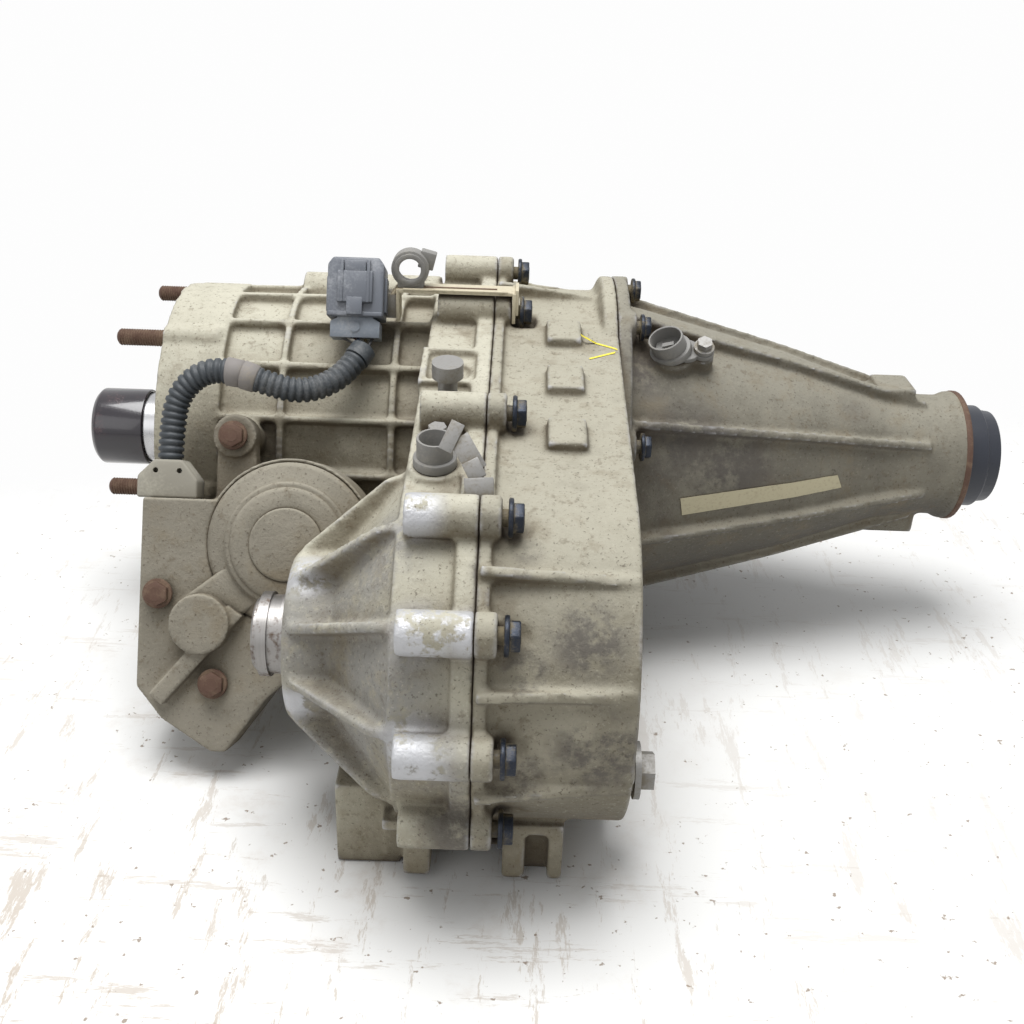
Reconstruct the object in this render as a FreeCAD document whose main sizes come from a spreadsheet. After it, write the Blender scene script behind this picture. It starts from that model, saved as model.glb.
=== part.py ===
import FreeCAD, Part
import math
import os
import Sketcher

# Four-wheel-drive transfer case: a three-piece die-cast housing with its planetary range set,
# clutch, chain drive, electric shift motor, wiring lead, sensors and fasteners.
# Row frame: X along the main shaft (the front mounting face is X = 0, +X is the rear output),
# -Y is the front-output side, +Z is up. Millimetres.
# Angles round a shaft axis are counted from -Y up towards +Z.

DOC = FreeCAD.newDocument("TransferCase")
SHEET = DOC.addObject("Spreadsheet::Sheet", "Dims")
V = FreeCAD.Vector

DIMENSIONS = {
    # clearances
    "running_gap": 0.3,        # between pieces of different moving bodies
    "press_gap": 0.1,          # radial room of a pressed or bolted piece in its seat
    "bolt_room": 0.3,          # radial room of a bolt shank in its hole
    # front case
    "collar_radius": 93,
    "collar_length": 33,
    "barrel_radius": 87,
    "barrel_wall": 7,
    "barrel_rib_rise": 6,
    "barrel_rib_width": 4,
    "mid_ring_place": 70,
    "rear_ring_place": 134,
    "front_wall": 26,
    "half_front_place": 156,
    "split_place": 193,
    "main_shell_radius": 97,
    "out_shell_radius": 84,
    "shell_wall": 6,
    "flange_rise": 5,
    "flange_front": 10,
    "flange_back": 6,
    "nose_front_place": 102,
    "nose_radius": 43,
    "nose_length": 23,
    "cone_radius": 80,
    "cone_wall": 7,
    "cone_rib_width": 5,
    # chain drive
    "chain_pitch": 12.7,
    "chain_links": 62,
    "sprocket_teeth": 28,
    "out_axis_drop": 4.1,      # degrees below level from the main axis
    "chain_front_place": 208,
    "chain_width": 28,
    # rear case and extension
    "rear_face_place": 265,
    "rear_wall": 7,
    "tail_flange_radius": 106,
    "tail_bolt_circle_radius": 98,
    "tail_flange_length": 8,
    "tail_base_radius": 89,
    "tail_mid_place": 377,
    "tail_mid_radius": 63,
    "tail_neck_place": 478,
    "tail_neck_radius": 38.5,
    "tail_lip_radius": 41,
    "tail_lip_length": 12,
    "tail_wall": 6,
    "tail_rib_rise": 8,
    "tail_rib_width": 5,
    # fasteners
    "bolt_radius": 5,
    "bolt_boss_radius": 10,
    "bolt_stand": 9,           # bolt axis outside the shell
    "bolt_head_flats": 15,
    "bolt_head_height": 7,
    "bolt_flange_radius": 10,
    "bolt_flange_height": 2.5,
    "bolt_grip": 22,
    "stud_circle_radius": 88,
    "stud_stand": 28,
    "stud_depth": 18,
    # main line bearings and shafts
    "input_radius": 22,
    "input_bearing_radius": 38,
    "input_bearing_width": 18,
    "input_seal_radius": 31,
    "input_seal_width": 6,
    "input_nose_place": -55,
    "spline_radius": 14.5,
    "cap_wall": 2,
    "cap_length": 33,
    "cap_end_place": -61,
    "gear_module": 1.8,
    "sun_teeth": 42,
    "planet_teeth": 15,
    "planet_count": 3,
    "gear_front_place": 34,
    "gear_width": 24,
    "carrier_plate": 4,
    "planet_pin_radius": 5,
    "main_shaft_radius": 16,
    "rear_bearing_radius": 36,
    "rear_bearing_width": 14,
    # front output
    "out_shaft_radius": 18,
    "out_bearing_radius": 34,
    "out_bearing_width": 18,
    "out_seal_radius": 28,
    "out_seal_width": 8,
    "slinger_radius": 21,
}


class Size:
    """A number together with the sheet expression that it comes from."""

    def __init__(self, value, text):
        self.value = float(value)
        self.text = text

    def __add__(self, other):
        return join(self, "+", other)

    def __radd__(self, other):
        return join(other, "+", self)

    def __sub__(self, other):
        return join(self, "-", other)

    def __rsub__(self, other):
        return join(other, "-", self)

    def __mul__(self, other):
        return join(self, "*", other)

    def __rmul__(self, other):
        return join(other, "*", self)

    def __truediv__(self, other):
        return join(self, "/", other)

    def __rtruediv__(self, other):
        return join(other, "/", self)

    def __neg__(self):
        return join(0, "-", self)

    def __float__(self):
        return self.value


def as_size(item):
    """Turn a plain number into a Size."""
    if isinstance(item, Size):
        return item
    return Size(item, "(" + format(item, ".6f") + ")")


def join(left, sign, right):
    """Combine two sizes and keep the expression text."""
    left = as_size(left)
    right = as_size(right)
    results = {
        "+": lambda: left.value + right.value,
        "-": lambda: left.value - right.value,
        "*": lambda: left.value * right.value,
        "/": lambda: left.value / right.value,
    }
    return Size(results[sign](), "(" + left.text + sign + right.text + ")")


def sine(degrees):
    """Sine of an angle in degrees."""
    degrees = as_size(degrees)
    return Size(math.sin(math.radians(degrees.value)), "sin(" + degrees.text + ")")


def cosine(degrees):
    """Cosine of an angle in degrees."""
    degrees = as_size(degrees)
    return Size(math.cos(math.radians(degrees.value)), "cos(" + degrees.text + ")")


def fill_sheet():
    """Write every driving dimension to the sheet under its own name."""
    sizes = {}
    for row, (alias, value) in enumerate(DIMENSIONS.items(), start=1):
        SHEET.set("A" + str(row), alias)
        SHEET.set("B" + str(row), str(value))
        SHEET.setAlias("B" + str(row), alias)
    DOC.recompute()
    for alias in DIMENSIONS:
        sizes[alias] = Size(SHEET.get(alias), "Dims." + alias)
    return sizes


class Names:
    """The driving dimensions as attributes."""

    def __init__(self, sizes):
        self.__dict__.update(sizes)


D = Names(fill_sheet())


# ---------------------------------------------------------------- helpers

def bind(item, path, size):
    """Tie one property of an object to its expression."""
    item.setExpression(path, as_size(size).text)


def bind_place(item, place):
    """Tie an object's position to three expressions."""
    base = V(*[float(as_size(value)) for value in place])
    item.Placement = FreeCAD.Placement(base, item.Placement.Rotation)
    for axis, value in zip("xyz", place):
        if isinstance(value, Size):
            bind(item, ".Placement.Base." + axis, value)


def turned_to(start, end):
    """Rotation that carries one direction onto another."""
    return FreeCAD.Rotation(start, end)


X_AXIS = V(1, 0, 0)
Z_AXIS = V(0, 0, 1)


def radial(angle):
    """Unit direction across the shaft axis, counted from -Y up towards +Z."""
    turn = math.radians(float(as_size(angle)))
    return V(0, -math.cos(turn), math.sin(turn))


def radial_place(angle, radius, centre=(0, 0)):
    """Y and Z of a point at an angle and radius round a shaft axis."""
    return (centre[0] - cosine(angle) * radius, centre[1] + sine(angle) * radius)


def polygon_sketch(sketch, points):
    """Draw a closed polygon with every corner tied to its sizes."""
    count = len(points)
    spots = [V(float(as_size(p[0])), float(as_size(p[1])), 0) for p in points]
    for index in range(count):
        sketch.addGeometry(Part.LineSegment(spots[index], spots[(index + 1) % count]))
    for index in range(count):
        after = (index + 1) % count
        sketch.addConstraint(Sketcher.Constraint("Coincident", index, 2, after, 1))
    for index, point in enumerate(points):
        for kind, value in zip(("DistanceX", "DistanceY"), point):
            number = float(as_size(value))
            made = sketch.addConstraint(Sketcher.Constraint(kind, -1, 1, index, 1, number))
            if isinstance(value, Size):
                bind(sketch, "Constraints[" + str(made) + "]", value)
    return sketch


def origin_part(body, role):
    """One of a body's own origin planes or axes."""
    return [item for item in body.Origin.OriginFeatures if item.Role == role][0]


def turned(name, points, centre=(0, 0)):
    """Revolve an (x, radius) profile about a shaft axis."""
    body = DOC.addObject("PartDesign::Body", name)
    sketch = body.newObject("Sketcher::SketchObject", name + "_profile")
    sketch.AttachmentSupport = [(origin_part(body, "XZ_Plane"), "")]
    sketch.MapMode = "FlatFace"
    polygon_sketch(sketch, points)
    spin = body.newObject("PartDesign::Revolution", name + "_turned")
    spin.Profile = sketch
    spin.ReferenceAxis = (origin_part(body, "X_Axis"), [""])
    spin.Angle = 360
    body.Tip = spin
    bind_place(body, (0, centre[0], centre[1]))
    return body


def tube(name, outer, inner, start, end, centre=(0, 0)):
    """A plain ring between two radii."""
    points = [(start, inner), (end, inner), (end, outer), (start, outer)]
    return turned(name, points, centre)


def rod(name, radius, start, end, centre=(0, 0)):
    """A cylinder along X."""
    item = DOC.addObject("Part::Cylinder", name)
    bind(item, "Radius", radius)
    bind(item, "Height", as_size(end) - start)
    item.Placement.Rotation = turned_to(Z_AXIS, X_AXIS)
    bind_place(item, (start, centre[0], centre[1]))
    return item


def post(name, radius, height, place, direction):
    """A cylinder from a place along any direction."""
    item = DOC.addObject("Part::Cylinder", name)
    bind(item, "Radius", radius)
    bind(item, "Height", height)
    item.Placement.Rotation = turned_to(Z_AXIS, direction)
    bind_place(item, place)
    return item


def block(name, low, high):
    """A box between two corners."""
    item = DOC.addObject("Part::Box", name)
    for side, axis in zip(("Length", "Width", "Height"), range(3)):
        bind(item, side, as_size(high[axis]) - low[axis])
    bind_place(item, low)
    return item


def turned_block(name, sizes, place, rotation):
    """A box centred on its base face and turned to a rotation."""
    item = DOC.addObject("Part::Box", name)
    for side, value in zip(("Length", "Width", "Height"), sizes):
        bind(item, side, value)
    back = rotation.multVec(V(-float(as_size(sizes[0])) / 2, -float(as_size(sizes[1])) / 2, 0))
    item.Placement.Rotation = rotation
    bind_place(item, [as_size(value) + shift for value, shift in zip(place, back)])
    return item


def prism(name, points, rotation, place, length, middle=False):
    """Extrude a polygon drawn in a turned plane along the plane's normal."""
    sketch = DOC.addObject("Sketcher::SketchObject", name + "_outline")
    polygon_sketch(sketch, points)
    sketch.Placement.Rotation = rotation
    bind_place(sketch, place)
    item = DOC.addObject("Part::Extrusion", name)
    item.Base = sketch
    item.DirMode = "Normal"
    item.Solid = True
    item.Symmetric = middle
    bind(item, "LengthFwd", length)
    return item


def plane_of(x_way, y_way):
    """Rotation whose local X and Y run along two directions."""
    return FreeCAD.Rotation(x_way, y_way, x_way.cross(y_way), "XYZ")


def rib(name, points, width, angle, centre=(0, 0)):
    """A flat rib that stands out from a shaft axis, drawn as (x, radius)."""
    place = (0, centre[0], centre[1])
    return prism(name, points, plane_of(X_AXIS, radial(angle)), place, width, True)


def fused(name, items):
    """Join several solids."""
    item = DOC.addObject("Part::MultiFuse", name)
    item.Shapes = items
    return item


def cut(name, base, tool):
    """Take one solid away from another."""
    item = DOC.addObject("Part::Cut", name)
    item.Base = base
    item.Tool = tool
    return item


def coded(name, shape):
    """A feature whose shape is worked out from the sheet's sizes in code."""
    item = DOC.addObject("Part::Feature", name)
    item.Shape = shape
    return item


NODES = []


def node(name, item):
    """Name one finished sub-part."""
    item.Label = name
    NODES.append(item)
    return item


# ---------------------------------------------------------------- shared places

MAIN = (0, 0)
CENTRE_DISTANCE = (D.chain_links - D.sprocket_teeth) / 2 * D.chain_pitch
OUT = (-CENTRE_DISTANCE * cosine(D.out_axis_drop), -CENTRE_DISTANCE * sine(D.out_axis_drop))


def egg(name, main_radius, out_radius, start, end):
    """Prism round both shaft axes: two arcs and their two tangent lines."""
    main_radius = as_size(main_radius)
    out_radius = as_size(out_radius)
    sketch = DOC.addObject("Sketcher::SketchObject", name + "_outline")
    far = V(float(OUT[0]), float(OUT[1]), 0)
    line = math.atan2(far.y, far.x)
    lean = math.acos((main_radius.value - out_radius.value) / far.Length)
    high = line - lean
    low = line + lean
    small = Part.Circle(V(0, 0, 0), Z_AXIS, main_radius.value)
    large = Part.Circle(far, Z_AXIS, out_radius.value)
    sketch.addGeometry(Part.ArcOfCircle(small, low, high + 2 * math.pi))
    sketch.addGeometry(Part.ArcOfCircle(large, high, low))

    def on(centre, radius, turn):
        return centre + V(radius * math.cos(turn), radius * math.sin(turn), 0)

    zero = V(0, 0, 0)
    tops = (on(zero, main_radius.value, high), on(far, out_radius.value, high))
    bottoms = (on(far, out_radius.value, low), on(zero, main_radius.value, low))
    sketch.addGeometry(Part.LineSegment(*tops))
    sketch.addGeometry(Part.LineSegment(*bottoms))
    for first, first_end, second, second_end in ((0, 2, 2, 1), (2, 2, 1, 1), (1, 2, 3, 1), (3, 2, 0, 1)):
        sketch.addConstraint(Sketcher.Constraint("Tangent", first, first_end, second, second_end))
    sketch.addConstraint(Sketcher.Constraint("Coincident", 0, 3, -1, 1))
    for kind, value in zip(("DistanceX", "DistanceY"), OUT):
        made = sketch.addConstraint(Sketcher.Constraint(kind, -1, 1, 1, 3, float(value)))
        bind(sketch, "Constraints[" + str(made) + "]", value)
    for index, value in ((0, main_radius), (1, out_radius)):
        made = sketch.addConstraint(Sketcher.Constraint("Radius", index, value.value))
        bind(sketch, "Constraints[" + str(made) + "]", value)
    sketch.Placement.Rotation = plane_of(V(0, 1, 0), V(0, 0, 1))
    bind_place(sketch, (start, 0, 0))
    item = DOC.addObject("Part::Extrusion", name)
    item.Base = sketch
    item.DirMode = "Normal"
    item.Solid = True
    bind(item, "LengthFwd", as_size(end) - start)
    return item


def arc_cosine(ratio):
    """Angle in degrees whose cosine is the ratio."""
    ratio = as_size(ratio)
    turn = math.degrees(math.acos(ratio.value))
    return Size(turn, "(acos(" + ratio.text + ") / 1 deg)")


# Lean of the two straight walls of the chain case against the line between the shafts.
WALL_LEAN = arc_cosine((D.main_shell_radius - D.out_shell_radius) / CENTRE_DISTANCE)
TOP_ANGLE = WALL_LEAN - D.out_axis_drop
BOTTOM_ANGLE = -WALL_LEAN - D.out_axis_drop


def wall_place(angle, share, stand):
    """Y and Z on a straight wall, from the main circle (0) to the output circle (1)."""
    near = radial_place(angle, D.main_shell_radius)
    far = radial_place(angle, D.out_shell_radius, OUT)
    out = radial_place(angle, stand)
    return (
        near[0] + share * (far[0] - near[0]) + out[0],
        near[1] + share * (far[1] - near[1]) + out[1],
    )


def case_bolt_places():
    """Y and Z of the bolts that hold the two case halves together."""
    places = []
    for index in range(6):
        places.append(radial_place(68 + 37 * index, D.main_shell_radius + D.bolt_stand))
    for index in range(5):
        angle = 68.5 - 33.9 * index
        places.append(radial_place(angle, D.out_shell_radius + D.bolt_stand, OUT))
    places.append(wall_place(TOP_ANGLE, 0.7, D.bolt_stand))
    places.append(wall_place(BOTTOM_ANGLE, 0.4, D.bolt_stand))
    return places


CASE_BOLTS = case_bolt_places()

# Shift motor: its face looks at the front-output side, tipped up.
MOTOR_TIP = 27
MOTOR_WAY = V(0, -math.cos(math.radians(MOTOR_TIP)), math.sin(math.radians(MOTOR_TIP)))
MOTOR_UP = V(0, math.sin(math.radians(MOTOR_TIP)), math.cos(math.radians(MOTOR_TIP)))
MOTOR_PLANE = plane_of(X_AXIS, MOTOR_UP)


def motor_place(along, up, out):
    """Row place from motor coordinates: along the shaft, up its face, out of its face."""
    up = as_size(up)
    out = as_size(out)
    tip = as_size(MOTOR_TIP)
    return (along, up * sine(tip) - out * cosine(tip), up * cosine(tip) + out * sine(tip))


SECTOR_ALONG = 88.5
SECTOR_UP = -68.6
MOTOR_BACK = 105
SECTOR_BORE = 9
RAIL_ANGLE = 112
RAIL_RADIUS = 66

# Feet, skids and sump: the pads that the case stands on.
FOOT_LOW = -118
FOOT_NEAR = -263
FOOT_FAR = -239
SUMP_NEAR = -276
SUMP_FAR = -150
SUMP_LOW = -113
SUMP_TOP = -80
SKID_HALF = 22
SKID_TOP = 13 - D.main_shell_radius

# Speed sensors: top of the seat, the way the sensor points, and the way to its screw.
SENSOR_STEM = 8
SENSOR_SCREW = 3
SENSOR_SCREW_REACH = 18
FRONT_SENSOR_WAY = radial(TOP_ANGLE)
FRONT_SENSOR_CROSS = radial(TOP_ANGLE).cross(X_AXIS)
FRONT_SENSOR = V(
    170,
    float(as_size(OUT[0])) + 11.44742,
    float(as_size(OUT[1] + D.out_shell_radius)) + 5.93630,
)
REAR_SENSOR_WAY = radial(61.3)
REAR_SENSOR_CROSS = X_AXIS
REAR_SENSOR_SINK = 0.61984      # seat top inside the tail's base circle
REAR_SENSOR = V(298, 0, 0) + V(0, -42.3, 77.6).normalize() * (
    float(as_size(D.tail_base_radius)) - REAR_SENSOR_SINK)


def along(base, way, reach):
    """Coordinates of a point at a reach from a base."""
    spot = base + way * reach
    return (spot.x, spot.y, spot.z)


def sensor_seat(name, top, way, cross):
    """Cast boss of a sensor and the lug of its screw."""
    return [
        post(name + "_boss", 13, 24, along(top, way, -24), way),
        post(name + "_lug", 7, 16, along(top + cross * SENSOR_SCREW_REACH, way, -16), way),
        turned_block(name + "_bridge", (SENSOR_SCREW_REACH, 9, 8),
                     along(top + cross * (SENSOR_SCREW_REACH / 2), way, -8),
                     FreeCAD.Rotation(cross, way.cross(cross), way, "XYZ")),
    ]


def sensor_holes(name, top, way, cross):
    """Bore of a sensor and the thread of its screw."""
    screw = top + cross * SENSOR_SCREW_REACH
    return [
        post(name + "_bore", SENSOR_STEM + D.press_gap, 70, along(top, way, -40), way),
        post(name + "_thread", SENSOR_SCREW + D.press_gap, 22, along(screw, way, -13), way),
    ]


# ---------------------------------------------------------------- front case


def holes(name, radius, start, end, places):
    """Parallel holes along X."""
    return [rod(name + str(index), radius, start, end, p) for index, p in enumerate(places)]


def front_case():
    """Barrel, front half of the chain case, front output nose, bosses, ribs and feet."""
    rib_top = D.barrel_radius + D.barrel_rib_rise
    ring = D.barrel_rib_width
    barrel = turned("barrel_outer", [
        (0, 0), (0, D.collar_radius), (D.collar_length + ring, D.collar_radius),
        (D.collar_length + ring, D.barrel_radius),
        (D.mid_ring_place, D.barrel_radius), (D.mid_ring_place, rib_top),
        (D.mid_ring_place + ring, rib_top), (D.mid_ring_place + ring, D.barrel_radius),
        (D.rear_ring_place, D.barrel_radius), (D.rear_ring_place, rib_top),
        (D.rear_ring_place + ring, rib_top), (D.rear_ring_place + ring, D.barrel_radius),
        (D.half_front_place + 1, D.barrel_radius), (D.half_front_place + 1, 0),
    ])
    shell = egg("front_shell", D.main_shell_radius, D.out_shell_radius,
                D.half_front_place, D.split_place)
    flange = egg("front_flange", D.main_shell_radius + D.flange_rise,
                 D.out_shell_radius + D.flange_rise,
                 D.split_place - D.flange_front, D.split_place)
    nose_back = D.nose_front_place + D.nose_length
    nose = turned("nose_outer", [
        (D.nose_front_place, 0), (D.nose_front_place, D.nose_radius - 3),
        (D.nose_front_place + 3, D.nose_radius), (nose_back, D.nose_radius),
        (D.half_front_place, D.cone_radius), (D.half_front_place + 2, D.cone_radius),
        (D.half_front_place + 2, 0),
    ], OUT)
    solids = [barrel, shell, flange, nose]
    bottom = D.barrel_radius - 2
    for index in range(18):
        angle = 88 - 20 * index
        profile = [
            (D.collar_length, bottom), (D.half_front_place + 1, bottom),
            (D.half_front_place + 1, rib_top + 2), (D.collar_length, rib_top),
        ]
        solids.append(rib("barrel_rib" + str(index), profile, D.barrel_rib_width, angle))
    for index in range(7):
        angle = 104 - 33.9 * index
        profile = [
            (D.nose_front_place + 4, D.nose_radius - 3), (D.half_front_place + 1, D.nose_radius - 3),
            (D.half_front_place + 1, D.out_shell_radius), (D.half_front_place - 10, D.cone_radius),
            (D.nose_front_place + 4, D.nose_radius + 2),
        ]
        solids.append(rib("cone_rib" + str(index), profile, D.cone_rib_width, angle, OUT))
    for index, place in enumerate(CASE_BOLTS):
        solids.append(rod("front_boss" + str(index), D.bolt_boss_radius,
                          D.half_front_place + 4, D.split_place, place))
    for index in range(6):
        place = radial_place(60 * index, D.stud_circle_radius - 1)
        solids.append(rod("stud_boss" + str(index), 9, 0, D.collar_length, place))
    solids.append(block("front_foot", (126, FOOT_NEAR, FOOT_LOW), (D.half_front_place + 2, FOOT_FAR, -70)))
    solids.append(block("front_sump", (D.half_front_place - 6, SUMP_NEAR, SUMP_LOW),
                        (D.split_place, SUMP_FAR, SUMP_TOP)))
    solids.append(block("front_skid", (D.half_front_place - 4, -SKID_HALF, FOOT_LOW),
                        (D.split_place, SKID_HALF, SKID_TOP)))
    # square access pocket on the sloping top wall
    pocket = wall_place(TOP_ANGLE, 0.43, -4)
    top_turn = plane_of(X_AXIS, X_AXIS.cross(radial(TOP_ANGLE)) * -1)
    solids.append(turned_block("pocket_rim", (34, 40, 9), (172,) + pocket, top_turn))
    # boss that carries the shift motor and its sector shaft
    base = motor_place(SECTOR_ALONG, SECTOR_UP, 50)
    solids.append(post("sector_boss", 30, MOTOR_BACK - 50, base, MOTOR_WAY))
    upper = motor_place(53, -10.5, 60)
    solids.append(post("motor_lug_top", 11, MOTOR_BACK - 60, upper, MOTOR_WAY))
    lower = motor_place(20, -97, 20)
    solids.append(post("motor_lug_low", 10, MOTOR_BACK - 20, lower, MOTOR_WAY))
    web = motor_place(20, -97, 45)
    solids.append(turned_block("motor_lug_web", (10, 60, 40), web, plane_of(X_AXIS, MOTOR_WAY * -1)))
    # front speed sensor seat and the rail boss on the top far side
    solids += sensor_seat("front_seat", FRONT_SENSOR, FRONT_SENSOR_WAY, FRONT_SENSOR_CROSS)
    solids.append(rod("rail_boss", 15, D.mid_ring_place, D.half_front_place + 1, radial_place(112, 88)))
    outer = fused("front_outer", solids)

    rail_lug = rib("rail_lug", [(146, 57), (156, 57), (156, 84), (146, 84)], 16, RAIL_ANGLE)
    inner_wall = D.barrel_radius - D.barrel_wall
    bearing_end = D.input_seal_width + D.input_bearing_width
    cavity = turned("barrel_inner", [
        (-1, 0), (-1, D.input_seal_radius + D.press_gap),
        (D.input_seal_width, D.input_seal_radius + D.press_gap),
        (D.input_seal_width, D.input_bearing_radius + D.press_gap),
        (bearing_end, D.input_bearing_radius + D.press_gap),
        (D.front_wall, D.input_bearing_radius + D.press_gap),
        (D.front_wall, inner_wall), (D.split_place - 1, inner_wall), (D.split_place - 1, 0),
    ])
    hollow = egg("front_hollow", D.main_shell_radius - D.shell_wall,
                 D.out_shell_radius - D.shell_wall,
                 D.half_front_place + D.shell_wall, D.split_place + 1)
    seal_end = D.nose_front_place + D.out_seal_width
    bearing_start = seal_end
    out_bearing_end = bearing_start + D.out_bearing_width
    nose_hollow = turned("nose_inner", [
        (D.nose_front_place - 1, 0), (D.nose_front_place - 1, D.out_seal_radius + D.press_gap),
        (seal_end, D.out_seal_radius + D.press_gap),
        (bearing_start, D.out_bearing_radius + D.press_gap),
        (out_bearing_end, D.out_bearing_radius + D.press_gap),
        (out_bearing_end + 3, D.out_bearing_radius + D.press_gap),
        (D.half_front_place + D.shell_wall + 1, D.cone_radius - D.cone_wall),
        (D.half_front_place + D.shell_wall + 1, 0),
    ], OUT)
    tools = [cavity, hollow, nose_hollow]
    tools += holes("front_bolt_hole", D.bolt_radius + D.press_gap,
                   D.split_place - D.bolt_grip, D.split_place + 1, CASE_BOLTS)
    studs = [radial_place(60 * index, D.stud_circle_radius) for index in range(6)]
    tools += holes("stud_hole", D.bolt_radius + D.press_gap, -1, D.stud_depth, studs)
    pocket_out = wall_place(TOP_ANGLE, 0.43, 0.5)
    tools.append(turned_block("pocket_well", (26, 32, 20), (172,) + pocket_out, top_turn))
    well = wall_place(TOP_ANGLE, 0.43, -3)
    tools.append(post("pocket_round", 10, 8, (172,) + well, radial(TOP_ANGLE)))
    start = motor_place(SECTOR_ALONG, SECTOR_UP, 10)
    tools.append(post("sector_bore", SECTOR_BORE + D.press_gap, 110, start, MOTOR_WAY))
    for index, (along, up) in enumerate(((53, -10.5), (20, -97))):
        start = motor_place(along, up, MOTOR_BACK - 15)
        tools.append(post("motor_thread" + str(index), 4 + D.press_gap, 16, start, MOTOR_WAY))
    tools += sensor_holes("front_seat", FRONT_SENSOR, FRONT_SENSOR_WAY, FRONT_SENSOR_CROSS)
    shell = cut("front_case_shell", outer, fused("front_tools", tools))
    with_lug = fused("front_with_lug", [shell, rail_lug])
    rail_hole = rod("rail_hole", 5 + D.press_gap, 140, D.half_front_place + 1,
                    radial_place(RAIL_ANGLE, RAIL_RADIUS))
    return node("front_case", cut("front_case_cut", with_lug, rail_hole))


def rear_case():
    """Rear half of the chain case with its ribs, bearing hubs, bosses and foot."""
    back = D.rear_face_place
    shell = egg("rear_shell", D.main_shell_radius, D.out_shell_radius, D.split_place, back)
    flange = egg("rear_flange", D.main_shell_radius + D.flange_rise,
                 D.out_shell_radius + D.flange_rise,
                 D.split_place, D.split_place + D.flange_back)
    solids = [shell, flange]
    neck = turned("rear_neck", [
        (back - 12, 0), (back - 12, D.main_shell_radius), (back - 8, D.tail_flange_radius),
        (back, D.tail_flange_radius), (back, 0),
    ])
    solids.append(neck)
    for index, place in enumerate(CASE_BOLTS):
        solids.append(rod("rear_boss" + str(index), D.bolt_boss_radius,
                          D.split_place, D.split_place + 10, place))
    for index in range(4):
        angle = 52 - 34 * index
        low = D.out_shell_radius - 3
        profile = [
            (D.split_place + 1, low), (back - 1, low),
            (back - 1, D.out_shell_radius + 1), (D.split_place + 1, D.out_shell_radius + 10),
        ]
        solids.append(rib("rear_rib" + str(index), profile, 5, angle, OUT))
    for index in range(5):
        low = D.main_shell_radius - 3
        profile = [
            (D.split_place + 1, low), (back - 1, low),
            (back - 1, D.main_shell_radius + 1), (D.split_place + 1, D.main_shell_radius + 10),
        ]
        solids.append(rib("rear_main_rib" + str(index), profile, 5, 86.5 + 37 * index))
    for index in range(3):
        place = wall_place(TOP_ANGLE, 0.22 + 0.26 * index, -2)
        turn = plane_of(X_AXIS, X_AXIS.cross(radial(TOP_ANGLE)) * -1)
        solids.append(turned_block("top_step" + str(index), (20, 26, 8), (233,) + place, turn))
    solids.append(block("rear_foot", (212, FOOT_NEAR, FOOT_LOW), (240, FOOT_FAR, -80)))
    solids.append(block("rear_sump", (D.split_place, SUMP_NEAR, SUMP_LOW), (back - 4, SUMP_FAR, SUMP_TOP)))
    solids.append(block("rear_skid", (D.split_place, -SKID_HALF, FOOT_LOW),
                        (back - 22, SKID_HALF, SKID_TOP)))
    solids.append(rod("fill_boss", 16, back - 10, back + 5, radial_place(-52, 60, OUT)))
    outer = fused("rear_outer", solids)
    hollow = egg("rear_hollow", D.main_shell_radius - D.shell_wall,
                 D.out_shell_radius - D.shell_wall, D.split_place - 1, back - D.rear_wall)
    shell_only = cut("rear_shell_cut", outer, hollow)
    hub = rod("rear_hub", D.out_bearing_radius - 4, D.chain_front_place + D.chain_width + 8,
              back + 6, OUT)
    main_hub = tube("main_hub", D.rear_bearing_radius + 8, 30, back - 14, back, MAIN)
    whole = fused("rear_whole", [shell_only, hub, main_hub])
    tools = holes("rear_bolt_hole", D.bolt_radius + D.bolt_room,
                  D.split_place - 1, D.split_place + 11, CASE_BOLTS)
    tools.append(rod("rear_bearing_bore", D.rear_bearing_radius + D.press_gap,
                     back - 15, back + 1))
    tools.append(rod("out_rear_bore", 24 + D.press_gap, back - 25, back, OUT))
    plug = radial_place(-52, 60, OUT)
    tools.append(rod("plug_hole", 10 + D.press_gap, back - 12, back + 6, plug))
    for index, place in enumerate(CASE_BOLTS):
        tools.append(rod("head_room" + str(index), D.bolt_flange_radius + D.running_gap,
                         D.split_place + 10, D.split_place + 24, place))
    tails = [radial_place(22.5 + 45 * index, D.tail_bolt_circle_radius) for index in range(8)]
    tools += holes("tail_thread", 4 + D.press_gap, back - 8, back + 1, tails)
    drain = (-213, -113)
    tools.append(post("drain_hole", 8 + D.press_gap, 40, (228, drain[0], drain[1] - 1), Z_AXIS))
    return node("rear_case", cut("rear_case_cut", whole, fused("rear_tools", tools)))


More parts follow.
